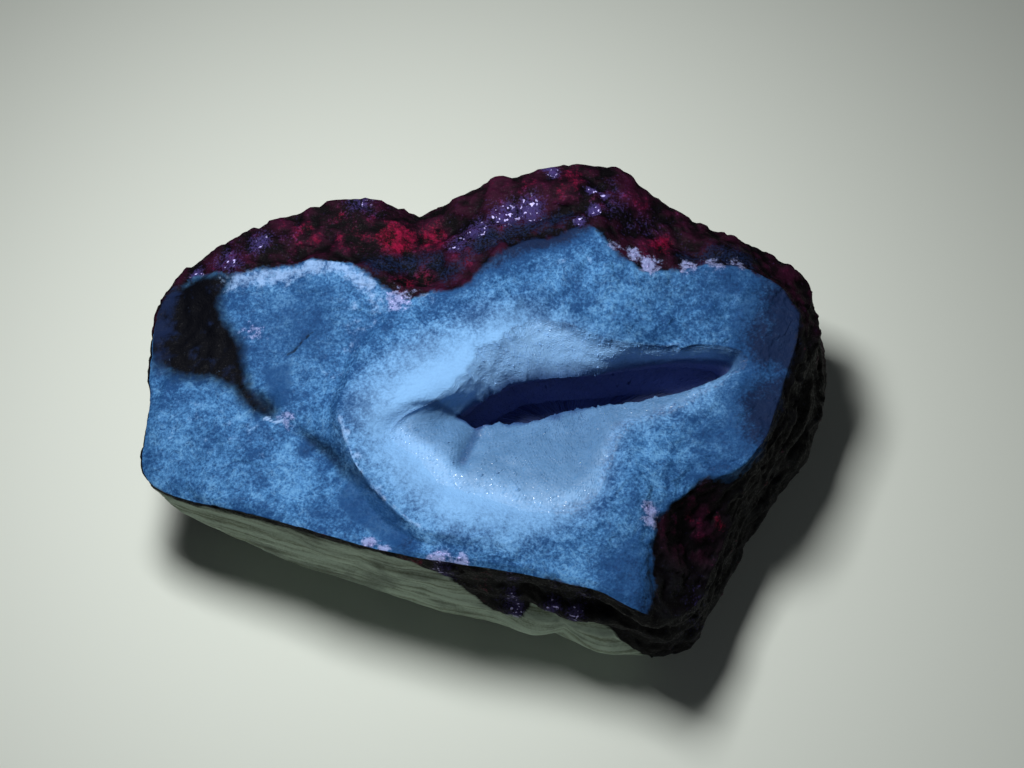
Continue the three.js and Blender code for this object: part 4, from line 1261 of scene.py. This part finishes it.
def quartz_druse(settings, stone_settings):
    """Milky quartz points over chalcedony: dull and granular from afar, with a few facets that flash."""
    material, tree, place = start_material("Drusy quartz")
    field = read_fields(tree, DRUSE_FIELDS)
    flash, grain, cloud = patterns(tree, place, DRUSE_PATTERNS)
    bowl = layered(tree, settings.bowl, (settings.rim, cloud, 0.35, 0.65, 1.0))
    # Painted light: the back wall's lighter colour behind the slit.
    bowl = add_node(tree, "ShaderNodeMix", 2, {0: field["back"], 6: bowl, 7: opaque(settings.back)}, COLOURS)
    # Painted shade in deep blue: the bowl's crease and the shade spots.
    bowl = layered(tree, bowl, (stone_settings.deep_blue, field["shade"], 0.3, 1.2, 0.7))
    colour = chalcedony_colour(tree, place, field, stone_settings)
    colour = layered(tree, colour, (bowl, weighed(tree, field["depth"], (cloud, 0.5)), 0.25, 0.55, 1.0))
    # Painted shade at the throat, then painted light down in the cavity.
    for share, over in ((field["dark"], settings.throat_shade_colour), (field["inside"], settings.deep_painted_lighter)):
        colour = add_node(tree, "ShaderNodeMix", 2, {0: share, 6: colour, 7: opaque(over)}, COLOURS)
    shaded = {"Vector": colour, "Scale": weighed(tree, 0.82, (grain, 0.36))}
    colour = add_node(tree, "ShaderNodeVectorMath", "Vector", shaded, {"operation": "SCALE"})
    gloss = add_node(tree, "ShaderNodeMapRange", "Result", span(flash, 0.6, 0.68, 0.6, 0.15), EASED)
    bump = {"Strength": 0.6, "Distance": 0.2 * MM, "Height": grain}
    normal = add_node(tree, "ShaderNodeBump", "Normal", bump)
    glassy = {"IOR": 1.54, "Specular IOR Level": 0.4}
    finish_material(tree, {"Base Color": colour, "Roughness": gloss, "Normal": normal, **glassy})
    return material


def matt_board(settings):
    """Smooth matt board, so that nothing on the floor draws the eye."""
    material, tree, _ = start_material("Matt board")
    finish_material(tree, {"Base Color": opaque(settings.floor_colour), "Roughness": 0.9})
    return material


# The stage

CAMERA_PLACE = (1.96, -87.68, 212.6)
CAMERA_TARGET = (1.96, -1.48, 36)
LENS = 43.46
LAMP_PLACE = (-38, 22, 190)
LAMP_TARGET = (0, 0, 20)
FILL_PLACE = (120, -160, 160)
FILL_SIZE = 4  # against the main lamp's
FILL_POWER = 0.045
COOL_WHITE = (0.9, 0.95, 1)
WORLD_STRENGTH = 0.018


def aim(thing, place, target):
    """Puts a lamp or camera at a place, looking at a target, both in millimetres."""
    thing.location = Vector(place) * MM
    thing.rotation_euler = (Vector(target) - Vector(place)).to_track_quat("-Z", "Y").to_euler()


def add_lamp(name, place, size, power, colour):
    """A square soft lamp that looks at the stone's middle."""
    data = bpy.data.lights.new(name, "AREA")
    data.shape = "SQUARE"
    data.size = size
    data.energy = power
    data.color = colour
    lamp = bpy.data.objects.new(name, data)
    bpy.context.scene.collection.objects.link(lamp)
    aim(lamp, place, LAMP_TARGET)


class GEODE_OT_stage(bpy.types.Operator):
    """Build the floor, the lamps and the camera"""

    bl_idname = "geode.stage"
    bl_label = "Build the stage"

    def execute(self, context):
        scene, settings = context.scene, context.scene.geode_stage
        half = settings.floor_size / 2
        corners = [(-half, -half, 0), (half, -half, 0), (half, half, 0), (-half, half, 0)]
        mesh = bpy.data.meshes.new("Floor")
        mesh.from_pydata(corners, [], [(0, 1, 2, 3)])
        mesh.materials.append(matt_board(settings))
        floor = bpy.data.objects.new("Floor", mesh)
        scene.collection.objects.link(floor)
        size, power = settings.lamp_size, settings.lamp_power
        add_lamp("Key lamp", LAMP_PLACE, size, power, (1, 1, 1))
        add_lamp("Fill lamp", FILL_PLACE, FILL_SIZE * size, FILL_POWER * power, COOL_WHITE)
        scene.world = bpy.data.worlds.new("Studio")
        scene.world.use_nodes = True
        background = scene.world.node_tree.nodes["Background"]
        background.inputs["Color"].default_value = opaque(COOL_WHITE)
        background.inputs["Strength"].default_value = WORLD_STRENGTH
        data = bpy.data.cameras.new("Camera")
        data.lens = LENS
        data.clip_start = 0.01
        camera = bpy.data.objects.new("Camera", data)
        scene.collection.objects.link(camera)
        aim(camera, CAMERA_PLACE, CAMERA_TARGET)
        scene.camera = camera
        scene.view_settings.view_transform = "Standard"
        return {"FINISHED"}


class GEODE_PT_panel(bpy.types.Panel):
    """The settings and the buttons that build the geode half"""

    bl_idname = "GEODE_PT_panel"
    bl_label = "Geode half"
    bl_space_type = "VIEW_3D"
    bl_region_type = "UI"
    bl_category = "Geode"

    def draw(self, context):
        for group, operator in GROUPS_AND_OPERATORS:
            settings = getattr(context.scene, group)
            for name in settings.__annotations__:
                self.layout.prop(settings, name)
            self.layout.operator(operator)


GROUPS_AND_OPERATORS = [
    ("geode_stone", "geode.stone"),
    ("geode_crystals", "geode.crystals"),
    ("geode_stage", "geode.stage"),
]
CLASSES = (
    GeodeStoneSettings,
    GeodeCrystalSettings,
    GeodeStageSettings,
    GEODE_OT_stone,
    GEODE_OT_crystals,
    GEODE_OT_stage,
    GEODE_PT_panel,
)


def register():
    """Registers the classes and hangs the settings on the scene."""
    for cls in CLASSES:
        bpy.utils.register_class(cls)
    bpy.types.Scene.geode_stone = bpy.props.PointerProperty(type=GeodeStoneSettings)
    bpy.types.Scene.geode_crystals = bpy.props.PointerProperty(type=GeodeCrystalSettings)
    bpy.types.Scene.geode_stage = bpy.props.PointerProperty(type=GeodeStageSettings)


def unregister():
    """Takes the settings off the scene and unregisters the classes."""
    del bpy.types.Scene.geode_stage
    del bpy.types.Scene.geode_crystals
    del bpy.types.Scene.geode_stone
    for cls in reversed(CLASSES):
        bpy.utils.unregister_class(cls)


def main():
    """Builds the pieces and the stage."""
    register()
    bpy.ops.geode.stone()
    bpy.ops.geode.crystals()
    bpy.ops.geode.stage()


if __name__ == "__main__":
    main()
